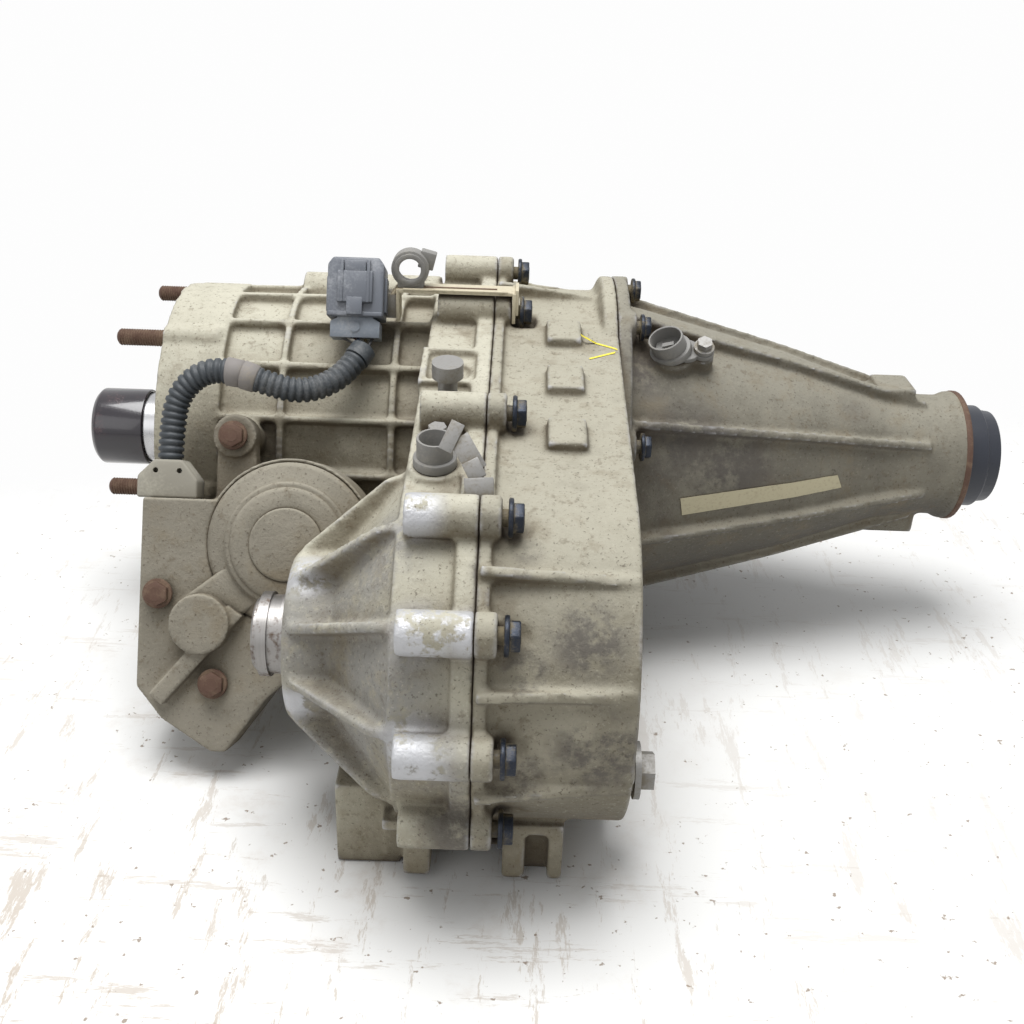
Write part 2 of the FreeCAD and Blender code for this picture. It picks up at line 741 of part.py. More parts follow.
def extension_housing():
    """Tapered tail housing with ribs, bolt bosses, pads and the rear lip."""
    front = D.rear_face_place
    neck = D.tail_neck_place
    end = neck + D.tail_lip_length
    base = front + D.tail_flange_length
    body = turned("tail_outer", [
        (front, 0), (front, D.tail_flange_radius), (base, D.tail_flange_radius),
        (base, D.tail_base_radius), (base + 14, D.tail_base_radius - 3),
        (D.tail_mid_place, D.tail_mid_radius), (neck - 40, D.tail_neck_radius + 4),
        (neck - 12, D.tail_neck_radius), (neck, D.tail_neck_radius),
        (neck + 5, D.tail_lip_radius), (end, D.tail_lip_radius), (end, 0),
    ])
    solids = [body]
    for index in range(8):
        angle = -15 + 45 * index
        profile = [
            (base - 1, D.tail_base_radius - 10), (D.tail_mid_place, D.tail_mid_radius - 3),
            (neck - 14, D.tail_neck_radius - 2), (neck - 14, D.tail_neck_radius + 3),
            (D.tail_mid_place, D.tail_mid_radius + D.tail_rib_rise - 2),
            (base + 4, D.tail_base_radius + D.tail_rib_rise),
            (base - 1, D.tail_base_radius + D.tail_rib_rise),
        ]
        solids.append(rib("tail_rib" + str(index), profile, D.tail_rib_width, angle))
        place = radial_place(22.5 + 45 * index, D.tail_bolt_circle_radius)
        solids.append(rod("tail_boss" + str(index), 9, front, base + 3, place))
    solids.append(block("tail_pad_top", (neck - 45, -14, 30), (neck - 22, 14, 49)))
    solids.append(block("tail_pad_low", (neck - 40, -15, -50), (neck - 8, 15, -30)))
    solids += sensor_seat("tail_seat", REAR_SENSOR, REAR_SENSOR_WAY, REAR_SENSOR_CROSS)
    outer = fused("tail_solid", solids)
    wall = D.tail_wall
    inner = turned("tail_inner", [
        (front - 1, 0), (front - 1, D.tail_base_radius - 9), (base + 6, D.tail_base_radius - 9),
        (D.tail_mid_place, D.tail_mid_radius - wall), (neck - 42, 30), (neck - 38, 26 + D.press_gap),
        (neck - 1, 26 + D.press_gap), (neck - 1, 31 + D.press_gap), (end + 1, 31 + D.press_gap),
        (end + 1, 0),
    ])
    tails = [radial_place(22.5 + 45 * index, D.tail_bolt_circle_radius) for index in range(8)]
    tools = [inner] + holes("tail_hole", 4 + D.bolt_room, front - 1, base + 4, tails)
    tools += sensor_holes("tail_seat", REAR_SENSOR, REAR_SENSOR_WAY, REAR_SENSOR_CROSS)
    return node("extension_housing", cut("tail_cut", outer, fused("tail_tools", tools)))


front_case()
rear_case()
extension_housing()


# ---------------------------------------------------------------- shared makers


def spread(name, master, places):
    """Copies of one finished shape at several places, as one feature."""
    DOC.recompute()
    copies = []
    for place in places:
        copy = master.Shape.copy()
        copy.translate(V(*[float(as_size(value)) for value in place]))
        copies.append(copy)
    return coded(name, Part.makeCompound(copies))


def hexagon(name, flats, height, start):
    """Hexagonal head along X."""
    item = DOC.addObject("Part::Prism", name)
    item.Polygon = 6
    bind(item, "Circumradius", as_size(flats) / 2 / cosine(30))
    bind(item, "Height", height)
    item.Placement.Rotation = turned_to(Z_AXIS, X_AXIS)
    bind_place(item, (start, 0, 0))
    return item


def flange_bolt(name, radius, flats, head, flange_radius, grip):
    """Flange-head bolt whose seat is at X = 0 and whose head points along +X."""
    flange = D.bolt_flange_height
    stem = turned(name + "_stem", [
        (0 - as_size(grip), 0), (0 - as_size(grip), radius), (0, radius), (0, flange_radius),
        (flange, flange_radius), (flange, 0),
    ])
    top = hexagon(name + "_head", flats, as_size(head), flange)
    return fused(name + "_one", [stem, top])


def gear_points(teeth, module, add, sink, slack, turn=0):
    """Corners of an involute outline: root, tip, tip, root for each tooth."""
    teeth = int(round(float(teeth)))
    module = float(module)
    pitch = module * teeth / 2
    base = pitch * math.cos(math.radians(20))
    level = math.tan(math.radians(20)) - math.radians(20)
    tip = pitch + add * module
    root = pitch - sink * module

    def half(radius):
        lean = math.acos(min(1, base / max(radius, base)))
        rise = math.tan(lean) - lean
        return math.pi / 2 / teeth - slack / pitch + level - rise

    points = []
    for index in range(teeth):
        middle = math.radians(turn) + 2 * math.pi * index / teeth
        for radius, side in ((root, -1), (pitch, -1), (tip, -1), (tip, 1), (pitch, 1), (root, 1)):
            spot = middle + side * half(radius)
            points.append(V(0, radius * math.cos(spot), radius * math.sin(spot)))
    return points


def loop_solid(points, start, length):
    """Extrude a closed loop of points along X."""
    loop = Part.makePolygon(points + [points[0]])
    face = Part.Face(loop)
    face.translate(V(float(as_size(start)), 0, 0))
    return face.extrude(V(float(as_size(length)), 0, 0))


def drum_solid(radius, start, length):
    """Plain cylinder along X as a shape."""
    start = float(as_size(start))
    return Part.makeCylinder(float(as_size(radius)), float(as_size(length)), V(start, 0, 0), X_AXIS)


TOOTH_RISE = 0.8
TOOTH_SINK = 1.1
TOOTH_SLACK = 0.2
BRACKET_SHEET = 2

# ---------------------------------------------------------------- fasteners of the housing

BEARING_END = D.input_seal_width + D.input_bearing_width
CARRIER_RADIUS = (D.sun_teeth + D.planet_teeth) * D.gear_module / 2


def fasteners():
    """Studs, case bolts and tail bolts in their holes."""
    buried = D.bolt_radius - D.press_gap
    stud = turned("stud_one", [
        (0 - D.stud_stand, 0), (0 - D.stud_stand, D.bolt_radius - 2),
        (2 - D.stud_stand, D.bolt_radius), (0, D.bolt_radius), (0, buried),
        (D.stud_depth - 1, buried), (D.stud_depth - 1, 0),
    ])
    places = [(0,) + radial_place(60 * index, D.stud_circle_radius) for index in range(6)]
    node("adapter_studs", spread("studs", stud, places))
    seat = D.split_place + 10
    bolt = flange_bolt("case_bolt", D.bolt_radius, D.bolt_head_flats, D.bolt_head_height,
                       D.bolt_flange_radius, D.bolt_grip + 9)
    places = [(seat,) + place for place in CASE_BOLTS]
    places[0] = (seat + BRACKET_SHEET,) + CASE_BOLTS[0]
    node("case_bolts", spread("bolts", bolt, places))
    seat = D.rear_face_place + D.tail_flange_length + 3
    small = flange_bolt("tail_bolt", 4, 12, 6, 8, D.tail_flange_length + 3 + 7)
    tails = [(seat,) + radial_place(22.5 + 45 * index, D.tail_bolt_circle_radius)
             for index in range(8)]
    node("extension_bolts", spread("tail_bolt_set", small, tails))


# ---------------------------------------------------------------- main line


def ball_bearing(name, outer, inner, start, width, centre=(0, 0)):
    """Rolling bearing: two races with a recessed shield between them."""
    outer = as_size(outer)
    inner = as_size(inner)
    land = (outer - inner) / 4
    end = as_size(start) + width
    body = turned(name + "_ring", [
        (start, inner), (end, inner), (end, inner + land), (end - 1.5, inner + land),
        (end - 1.5, outer - land), (end, outer - land), (end, outer), (start, outer),
        (start, outer - land), (as_size(start) + 1.5, outer - land),
        (as_size(start) + 1.5, inner + land), (start, inner + land),
    ], centre)
    return node(name, body)


def input_line():
    """Input seal and bearing, input shaft with its sun gear, and the slip-on cap."""
    node("input_seal", tube("input_seal_ring", D.input_seal_radius, D.input_radius + 0.2,
                            0, D.input_seal_width))
    ball_bearing("input_bearing", D.input_bearing_radius, D.input_radius + D.press_gap,
                 D.input_seal_width, D.input_bearing_width)
    front = D.gear_front_place
    end = front + D.gear_width
    shaft = turned("input_turned", [
        (D.input_nose_place, D.spline_radius), (D.input_nose_place, D.input_radius - 1),
        (D.input_nose_place + 1, D.input_radius), (BEARING_END + 0.5, D.input_radius),
        (BEARING_END + 0.5, D.input_radius + 3), (BEARING_END + 2.5, D.input_radius + 3),
        (BEARING_END + 2.5, D.input_radius), (front, D.input_radius),
        (front, D.input_radius + 6), (end, D.input_radius + 6), (end, 24), (end + 8, 24),
        (end + 8, 13.3), (30, 13.3), (30, 0), (22, 0), (22, D.spline_radius),
    ])
    sun = gear_points(D.sun_teeth, D.gear_module, TOOTH_RISE, TOOTH_SINK, TOOTH_SLACK)
    teeth = loop_solid(sun, front, D.gear_width)
    teeth = teeth.cut(drum_solid(D.input_radius + 5, front - 1, D.gear_width + 2))
    node("input_shaft", fused("input_fused", [shaft, coded("sun_teeth_ring", teeth)]))
    cap_in = D.input_radius + D.running_gap
    cap_out = cap_in + D.cap_wall
    cap_end = D.cap_end_place
    mouth = cap_end + D.cap_length
    node("input_cap", turned("cap_turned", [
        (cap_end, 0), (cap_end, cap_out - 3), (cap_end + 3, cap_out), (mouth, cap_out),
        (mouth, cap_in), (D.input_nose_place - 1, cap_in), (D.input_nose_place - 1, 0),
    ]))


def range_set():
    """Fixed ring gear, planets on their pins, and the carrier."""
    front = D.gear_front_place
    width = D.gear_width
    ring_out = D.barrel_radius - D.barrel_wall - D.press_gap
    ring = drum_solid(ring_out, front, width)
    teeth = D.sun_teeth + 2 * D.planet_teeth
    step = 360 / round(teeth.value)
    space = gear_points(teeth, D.gear_module, TOOTH_SINK, TOOTH_RISE, -TOOTH_SLACK)
    ring = ring.cut(loop_solid(space, front - 1, width + 2))
    node("ring_gear", coded("ring_shape", ring))
    count = int(D.planet_count.value)
    half_step = 180 / round(D.planet_teeth.value)
    for index in range(count):
        turn = 360 * index / count
        points = gear_points(D.planet_teeth, D.gear_module, TOOTH_RISE, TOOTH_SINK, TOOTH_SLACK,
                             turn + 180 + half_step)
        gear = loop_solid(points, front + D.running_gap, width - 2 * D.running_gap)
        gear = gear.cut(drum_solid(D.planet_pin_radius + D.press_gap, front - 1, width + 2))
        item = coded("planet_shape" + str(index), gear)
        spot = (CARRIER_RADIUS * math.cos(math.radians(turn)),
                CARRIER_RADIUS * math.sin(math.radians(turn)))
        bind_place(item, (0,) + spot)
        node("planet_gear_" + str(index + 1), item)
    plate_out = CARRIER_RADIUS + 9
    plate = D.carrier_plate
    start = front - plate - 1
    end = front + width + 1
    parts = [tube("carrier_front", plate_out, D.input_radius + 1, start, front - 1)]
    parts.append(tube("carrier_rear", plate_out, 26, end, end + plate))
    parts.append(tube("carrier_dog_ring", 44, 37, end + plate - 1, end + plate + 10))
    spots = []
    for index in range(count):
        middle = 360 * index / count + 180 / count
        place = (CARRIER_RADIUS * math.cos(math.radians(middle)),
                 CARRIER_RADIUS * math.sin(math.radians(middle)))
        parts.append(rod("carrier_post" + str(index), 7, start + 1, end + 1, place))
        turn = math.radians(360 * index / count)
        spots.append((CARRIER_RADIUS * math.cos(turn), CARRIER_RADIUS * math.sin(turn)))
    body = fused("carrier_body", parts)
    tools = holes("pin_hole", D.planet_pin_radius + D.press_gap, start - 1, end + plate + 1, spots)
    node("planet_carrier", cut("carrier_cut", body, fused("carrier_tools", tools)))
    pin = rod("planet_pin_one", D.planet_pin_radius, start, end + plate)
    node("planet_pins", spread("pins", pin, [(0,) + spot for spot in spots]))


COLLAR_START = 74
CRANK_LENGTH = 22
CRANK_LEAN = 20


def shift_set():
    """Range collar, fork, rail and the sector that moves them."""
    start = COLLAR_START
    node("range_collar", turned("collar_turned", [
        (start, D.main_shaft_radius + 1 + D.running_gap), (start, 33), (start + 5, 33),
        (start + 5, 28), (start + 11, 28), (start + 11, 33), (start + 16, 33),
        (start + 16, D.main_shaft_radius + 1 + D.running_gap),
    ]))
    fork_x = start + 5 + D.running_gap
    arc = tube("fork_arc", 42, 28 + D.running_gap, fork_x, fork_x + 5)
    angle = 112
    rail = radial_place(angle, RAIL_RADIUS)
    hub = rod("fork_hub", 9.5, fork_x, fork_x + 5, rail)
    arm = rib("fork_arm", [(fork_x, 38), (fork_x + 5, 38), (fork_x + 5, 60), (fork_x, 60)],
              14, angle)
    up = SECTOR_UP + CRANK_LENGTH * math.cos(math.radians(CRANK_LEAN))
    pin_x = SECTOR_ALONG - CRANK_LENGTH * math.sin(math.radians(CRANK_LEAN))
    jaw = motor_place(pin_x, up - 8, 27)
    claw = turned_block("fork_claw", (15, 10, 26), jaw, plane_of(X_AXIS, MOTOR_WAY * -1))
    gap = motor_place(pin_x, up - 9, 27)
    slot = turned_block("fork_slot", (7, 12, 18), gap, plane_of(X_AXIS, MOTOR_WAY * -1))
    solid = fused("fork_solid", [arc, hub, arm, claw])
    room = rod("fork_rail_hole", 5 + D.running_gap, fork_x - 1, fork_x + 7, rail)
    mouth = rod("fork_mouth", 28 + D.running_gap, fork_x - 20, fork_x + 30)
    side = block("fork_open", (fork_x - 1, 10, -60), (fork_x + 6, 60, 20))
    node("range_fork", cut("fork_cut", solid, fused("fork_tools", [slot, room, mouth, side])))
    node("shift_rail", rod("rail_rod", 5, 64, D.half_front_place, rail))
    low = 18
    stem = post("sector_stem", SECTOR_BORE, MOTOR_BACK + 8 - low,
                motor_place(SECTOR_ALONG, SECTOR_UP, low), MOTOR_WAY)
    lean = math.radians(CRANK_LEAN)
    along = X_AXIS * -math.sin(lean) + MOTOR_UP * math.cos(lean)
    side = X_AXIS * math.cos(lean) + MOTOR_UP * math.sin(lean)
    crank = prism("sector_crank", [(-6, -4), (5, -4), (4, CRANK_LENGTH + 5), (-4, CRANK_LENGTH + 5),
                                   (-6, 4)],
                  FreeCAD.Rotation(side, along, side.cross(along), "XYZ"),
                  motor_place(SECTOR_ALONG, SECTOR_UP, 14 + 1), 4)
    pin = post("sector_pin", 3, 21, motor_place(pin_x, up, 13), MOTOR_WAY)
    node("shift_sector", fused("sector_fused", [stem, crank, pin]))


def main_line():
    """Main shaft, clutch, drive sprocket, rear bearing, pump and tail pieces."""
    back = D.rear_face_place
    shaft = D.main_shaft_radius
    neck = D.tail_neck_place
    node("main_shaft", turned("main_turned", [
        (31, 0), (31, 12), (32, 13), (68, 13), (68, shaft + 1), (106, shaft + 1),
        (106, shaft + 4), (170, shaft + 4), (170, shaft + 6), (238, shaft + 6),
        (238, shaft + 3), (back - 14.5, shaft + 3), (back - 14.5, shaft + 2),
        (neck - 40, shaft + 2), (neck - 40, shaft), (neck - 26, shaft), (neck - 25, shaft - 1),
        (neck - 25, 0),
    ]))
    discs = [(110, shaft + 4 + D.press_gap)]
    for index in range(4):
        spot = 114 + 11 * index
        discs += [(spot, 34), (spot, 50), (spot + 5, 50), (spot + 5, 34)]
    discs += [(158, 34), (158, shaft + 4 + D.press_gap)]
    discs.insert(1, (110, 34))
    node("clutch_plates", turned("plates_turned", discs))
    sprocket_end = D.chain_front_place + D.chain_width
    hub_in = shaft + 6 + D.running_gap
    node("clutch_drum", turned("drum_turned", [
        (108, 53), (108, 57), (168, 57), (168, 34), (186, 34), (186, hub_in), (163, hub_in),
        (163, 53),
    ]))
    node("drive_sprocket", sprocket("drive", 186, hub_in, sprocket_end + 1, MAIN))
    ball_bearing("rear_bearing", D.rear_bearing_radius, shaft + 2 + D.press_gap,
                 back - D.rear_bearing_width, D.rear_bearing_width)
    pump_back = back - 14
    node("oil_pump", turned("pump_turned", [
        (pump_back - 12, shaft + 3 + D.press_gap), (pump_back, shaft + 3 + D.press_gap),
        (pump_back, 43), (pump_back - 8, 43), (pump_back - 8, 38), (pump_back - 12, 38),
    ]))
    node("oil_pickup_tube", post("pickup_post", 5, D.main_shell_radius - 64,
                                 (pump_back - 6, 0, 21 - D.main_shell_radius), Z_AXIS))
    node("oil_strainer", block("strainer_block", (pump_back - 18, -16, 13 - D.main_shell_radius),
                               (pump_back + 6, 16, 21 - D.main_shell_radius)))
    points = gear_points(20, 5.4, 0.7, 0.9, 0.6)
    tone = loop_solid(points, 289, 14).cut(drum_solid(shaft + 2 + D.press_gap, 280, 30))
    node("speed_ring", coded("tone_shape", tone))
    node("tail_bushing", tube("bushing_ring", 26, 22, neck - 38, neck - 6))
    node("rear_seal", tube("rear_seal_ring", 31, 22, neck, neck + 10))
    lip = neck + D.tail_lip_length
    node("rear_dust_boot", turned("boot_turned", [
        (lip, 24), (lip, 34), (lip + 2, 32.5), (lip + 13, 32.5), (lip + 14, 30), (lip + 22, 29),
        (lip + 22, 24),
    ]))


def sprocket(name, start, hub_in, end, centre):
    """Toothed wheel with a long hub, its teeth midway between chain pins."""
    count = int(round(D.sprocket_teeth.value))
    pitch = D.chain_pitch.value / 2 / math.sin(math.pi / count)
    tip = pitch - 0.6
    root = pitch - 8.4
    points = []
    for index in range(count):
        middle = 2 * math.pi * (index + 0.5) / count + math.radians(D.out_axis_drop.value)
        for radius, half in ((root, 2.7), (tip, 1.0)):
            spot = middle - half / radius
            points.append(V(0, radius * math.cos(spot), radius * math.sin(spot)))
        for radius, half in ((tip, 1.0), (root, 2.7)):
            spot = middle + half / radius
            points.append(V(0, radius * math.cos(spot), radius * math.sin(spot)))
    wheel = loop_solid(points, D.chain_front_place + 0.5, D.chain_width - 1)
    wheel = wheel.cut(drum_solid(hub_in, D.chain_front_place - 1, D.chain_width + 2))
    teeth = coded(name + "_wheel", wheel)
    bind_place(teeth, (0, centre[0], centre[1]))
    hub = tube(name + "_hub", 34, hub_in, start, end, centre)
    return fused(name + "_fused", [teeth, hub])


def chain_shape():
    """Closed band of links: flat backs and two inward teeth to each link."""
    count = int(round(D.sprocket_teeth.value))
    run = (int(round(D.chain_links.value)) - count) // 2
    pitch = D.chain_pitch.value
    radius = pitch / 2 / math.sin(math.pi / count)
    length = run * pitch
    step = 2 * math.pi / count
    pins = []
    for index in range(count // 2):
        turn = math.pi / 2 + index * step
        pins.append((radius * math.cos(turn), radius * math.sin(turn)))
    pins += [(index * pitch, -radius) for index in range(run)]
    for index in range(count // 2):
        turn = -math.pi / 2 + index * step
        pins.append((length + radius * math.cos(turn), radius * math.sin(turn)))
    pins += [(length - index * pitch, radius) for index in range(run)]
    drop = math.radians(D.out_axis_drop.value)

    def placed(along, across):
        y = -along * math.cos(drop) - across * math.sin(drop)
        z = -along * math.sin(drop) + across * math.cos(drop)
        return V(0, y, z)

    def edge(steps):
        spots = []
        for index, here in enumerate(pins):
            after = pins[(index + 1) % len(pins)]
            way = ((after[0] - here[0]), (after[1] - here[1]))
            side = (-way[1] / pitch, way[0] / pitch)
            for share, depth in steps:
                spots.append(placed(here[0] + share * way[0] + depth * side[0],
                                    here[1] + share * way[1] + depth * side[1]))
        return spots

    inner = edge(((0.217, 6.8), (0.335, 0.2), (0.665, 0.2), (0.783, 6.8)))
    outer = edge(((0.12, -6.0), (0.88, -6.0)))
    band = loop_solid(outer, D.chain_front_place, D.chain_width)
    return band.cut(loop_solid(inner, D.chain_front_place - 1, D.chain_width + 2))


def front_output_line():
    """Front output shaft with its seal, bearings, slinger, driven sprocket and chain."""
    shaft = D.out_shaft_radius
    nose = D.nose_front_place
    seal_end = nose + D.out_seal_width
    back = D.rear_face_place
    start = nose - 19
    node("front_output_shaft", turned("out_turned", [
        (start, D.spline_radius), (start, shaft - 1), (start + 1, shaft), (204, shaft),
        (204, shaft + 2), (238, shaft + 2), (238, shaft), (back - 20.5, shaft),
        (back - 20.5, shaft - 3), (back - 3, shaft - 3), (back - 3, 0), (start + 42, 0),
        (start + 42, D.spline_radius),
    ], OUT))
    inner = shaft + D.press_gap
    slinger = D.slinger_radius
    node("output_slinger", turned("slinger_turned", [
        (nose - 16, inner), (nose - 0.5, inner), (nose - 0.5, slinger), (nose - 5, slinger),
        (nose - 5, slinger - 1.5), (nose - 11, slinger - 1.5), (nose - 11, slinger),
        (nose - 16, slinger),
    ], OUT))
    node("front_output_seal", tube("out_seal_ring", D.out_seal_radius, shaft + 0.2,
                                   nose, seal_end, OUT))
    ball_bearing("front_output_bearing", D.out_bearing_radius, shaft + D.press_gap,
                 seal_end, D.out_bearing_width, OUT)
    ball_bearing("front_output_rear_bearing", 24, shaft - 3 + D.press_gap,
                 back - 17, 17, OUT)
    end = D.chain_front_place + D.chain_width + 1
    node("driven_sprocket", sprocket("driven", 206, shaft + 2 + D.press_gap, end, OUT))
    node("chain", coded("chain_band", chain_shape()))


fasteners()
input_line()
range_set()
shift_set()
main_line()
front_output_line()


# ---------------------------------------------------------------- shift motor

MOTOR_BODY = 138


def turned_out(name, points, along, up, out):
    """Revolve an (out, radius) profile about a line that points out of the motor face."""
    body = turned(name, points)
    body.Placement.Rotation = turned_to(X_AXIS, MOTOR_WAY)
    bind_place(body, motor_place(along, up, out))
    return body


def motor_set():
    """Gear motor housing, its stepped round cover, and the bolts that hold it."""
    back = MOTOR_BACK
    deep = MOTOR_BODY - MOTOR_BACK
    outline = [
        (9, -46), (9, -147), (23, -164), (50, -181), (58, -181), (79, -152), (93, -139),
        (100, -112), (62, -46),
    ]
    body = prism("motor_body", outline, MOTOR_PLANE, motor_place(0, 0, back), deep)
    gears = post("motor_gearcase", 46, deep, motor_place(SECTOR_ALONG, SECTOR_UP, back), MOTOR_WAY)
    lug = post("motor_lug", 12, 15, motor_place(53, -10.5, back), MOTOR_WAY)
    bridge = prism("motor_bridge", [(43, -12), (43, -60), (68, -60), (64, -12)], MOTOR_PLANE,
                   motor_place(0, 0, back), 12)
    can = post("motor_can", 16, 12, motor_place(44, -112, MOTOR_BODY - 1), MOTOR_WAY)
    ridge = prism("motor_ridge", [(18, -150), (25, -156), (76, -96), (68, -90)], MOTOR_PLANE,
                  motor_place(0, 0, MOTOR_BODY - 1), 9)
    solid = fused("motor_solid", [body, gears, lug, bridge, can, ridge])
    stem = post("motor_stem_hole", SECTOR_BORE + D.running_gap, 14,
                motor_place(SECTOR_ALONG, SECTOR_UP, back - 1), MOTOR_WAY)
    tools = [stem]
    for index, (place_x, up, top, grip) in enumerate(MOTOR_BOLTS):
        tools.append(post("motor_hole" + str(index), 4 + D.bolt_room, top + 2,
                          motor_place(place_x, up, back - 1), MOTOR_WAY))
    seat = post("motor_cover_seat", 18.4 + 26, 20, motor_place(SECTOR_ALONG, SECTOR_UP,
                MOTOR_BODY - 2), MOTOR_WAY)
    tools.append(seat)
    node("motor_housing", cut("motor_cut", solid, fused("motor_tools", tools)))
    node("motor_cover", turned_out("cover_turned", [
        (0, 0), (0, 44), (2, 44), (4, 42), (6, 35), (8, 31), (11, 30), (12, 28), (12, 20),
        (11, 18.4), (11, 0),
    ], SECTOR_ALONG, SECTOR_UP, MOTOR_BODY - 2))
    bolts = [flange_bolt("motor_bolt" + str(index), 4, 12, 6, 8, grip)
             for index, (place_x, up, top, grip) in enumerate(MOTOR_BOLTS)]
    DOC.recompute()
    copies = []
    for bolt, (place_x, up, top, grip) in zip(bolts, MOTOR_BOLTS):
        copy = bolt.Shape.copy()
        place = [float(as_size(value)) for value in motor_place(place_x, up, back + top)]
        copy.Placement = FreeCAD.Placement(V(*place), turned_to(X_AXIS, MOTOR_WAY))
        copies.append(copy)
    node("motor_bolts", coded("motor_bolt_set", Part.makeCompound(copies)))


# ---------------------------------------------------------------- wiring lead

LEAD_RADIUS = 6.8
LEAD_ROUTE = (
    (18, -25, 118), (18, -7, 118), (21.5, 12, 119), (35, 24.5, 121), (52, 25, 121),
    (71, 18.5, 120), (88, 15, 116), (103.5, 21, 110), (114, 32, 104), (120, 43, 98),
)


def lead_edges():
    """Straight runs joined by the largest tangent arcs that their lengths allow."""
    spots = [V(*[float(as_size(v)) for v in motor_place(*point)]) for point in LEAD_ROUTE]
    edges = []
    last = spots[0]
    for index in range(1, len(spots) - 1):
        here = spots[index]
        before = (here - spots[index - 1]).Length
        after = (spots[index + 1] - here).Length
        into = (here - spots[index - 1]).normalize()
        away = (spots[index + 1] - here).normalize()
        turn = into.getAngle(away)
        reach = 0.45 * min(before, after)
        start = here - into * reach
        end = here + away * reach
        radius = reach / math.tan(turn / 2)
        inward = (away - into).normalize()
        middle = here + inward * (radius / math.cos(turn / 2) - radius)
        edges.append(Part.LineSegment(last, start).toShape())
        edges.append(Part.Arc(start, middle, end).toShape())
        print("lead bend", index, "radius", round(radius, 1), "turn", round(math.degrees(turn)))
        last = end
    edges.append(Part.LineSegment(last, spots[-1]).toShape())
    return edges


def swept(edges, radius):
    """Round tube solid along joined edges."""
    path = Part.Wire(edges)
    first = edges[0]
    start = first.valueAt(first.FirstParameter)
    way = first.tangentAt(first.FirstParameter)
    ring = Part.Wire([Part.Circle(start, way, radius).toShape()])
    return path.makePipeShell([ring], True, False)


def lead_set():
    """Boot, conduit, tape, wires, connector pair, bracket and clips."""
    node("harness_boot", prism("boot_block", [
        (2, -46), (35, -46), (35, -36), (27, -26), (26, -25), (11, -25), (2, -34),
    ], MOTOR_PLANE, motor_place(0, 0, 109), 17))
    edges = lead_edges()
    tube_solid = swept(edges, LEAD_RADIUS)
    length = sum(edge.Length for edge in edges)
    print("lead length", round(length, 1), "volume share",
          round(tube_solid.Volume / (math.pi * LEAD_RADIUS ** 2 * length), 4))
    node("harness_conduit", coded("conduit_tube", tube_solid))
    part = edges[7:10]
    band = swept(part, LEAD_RADIUS + 0.9).cut(swept(part, LEAD_RADIUS + 0.1))
    node("conduit_tape", coded("tape_band", band))
    end = LEAD_ROUTE[-1]
    plug_up = 49
    wires = []
    for index in range(5):
        low = motor_place(end[0] - 4 + 2 * index, end[1] - 0.4, end[2] + (index % 2) * 2 - 1)
        top = motor_place(104 + 5 * index, plug_up, 92)
        a = V(*[float(as_size(v)) for v in low])
        b = V(*[float(as_size(v)) for v in top])
        wires.append((a, b - a))
    strands = []
    for index, (spot, way) in enumerate(wires):
        strands.append(Part.makeCylinder(0.9, way.Length, spot, way))
    lead_end = tube_solid
    strands = [strand.cut(lead_end) for strand in strands]
    node("harness_wires", coded("wire_set", Part.makeCompound(strands)))
    plug = prism("plug_block", [(100, plug_up), (128, plug_up), (128, 58), (124, 60), (124, 66),
                                (104, 66), (104, 60), (100, 58)],
                 MOTOR_PLANE, motor_place(0, 0, 84), 14)
    keys = post("plug_key", 3, 15, motor_place(114, 55, 84), MOTOR_WAY)
    strand_room = coded("plug_room", Part.makeCompound(strands))
    node("connector_plug", cut("plug_cut", fused("plug_solid", [plug, keys]), strand_room))
    shell = prism("connector_shell", [(98, 60.3), (130, 60.3), (130, 90), (127, 94), (101, 94),
                                      (98, 90)],
                  MOTOR_PLANE, motor_place(0, 0, 80), 21)
    well = prism("connector_well", [(103.5, 60), (124.5, 60), (124.5, 66.5), (103.5, 66.5)],
                 MOTOR_PLANE, motor_place(0, 0, 83.5), 15)
    node("connector_body", cut("connector_cut", shell, well))
    node("connector_clip", prism("clip_plate", [(104, 68), (124, 68), (124, 86), (104, 86)],
                                 MOTOR_PLANE, motor_place(0, 0, 101), 3))
    bracket_set()


BRACKET_TOP = CASE_BOLTS[0][1] + 13.218511


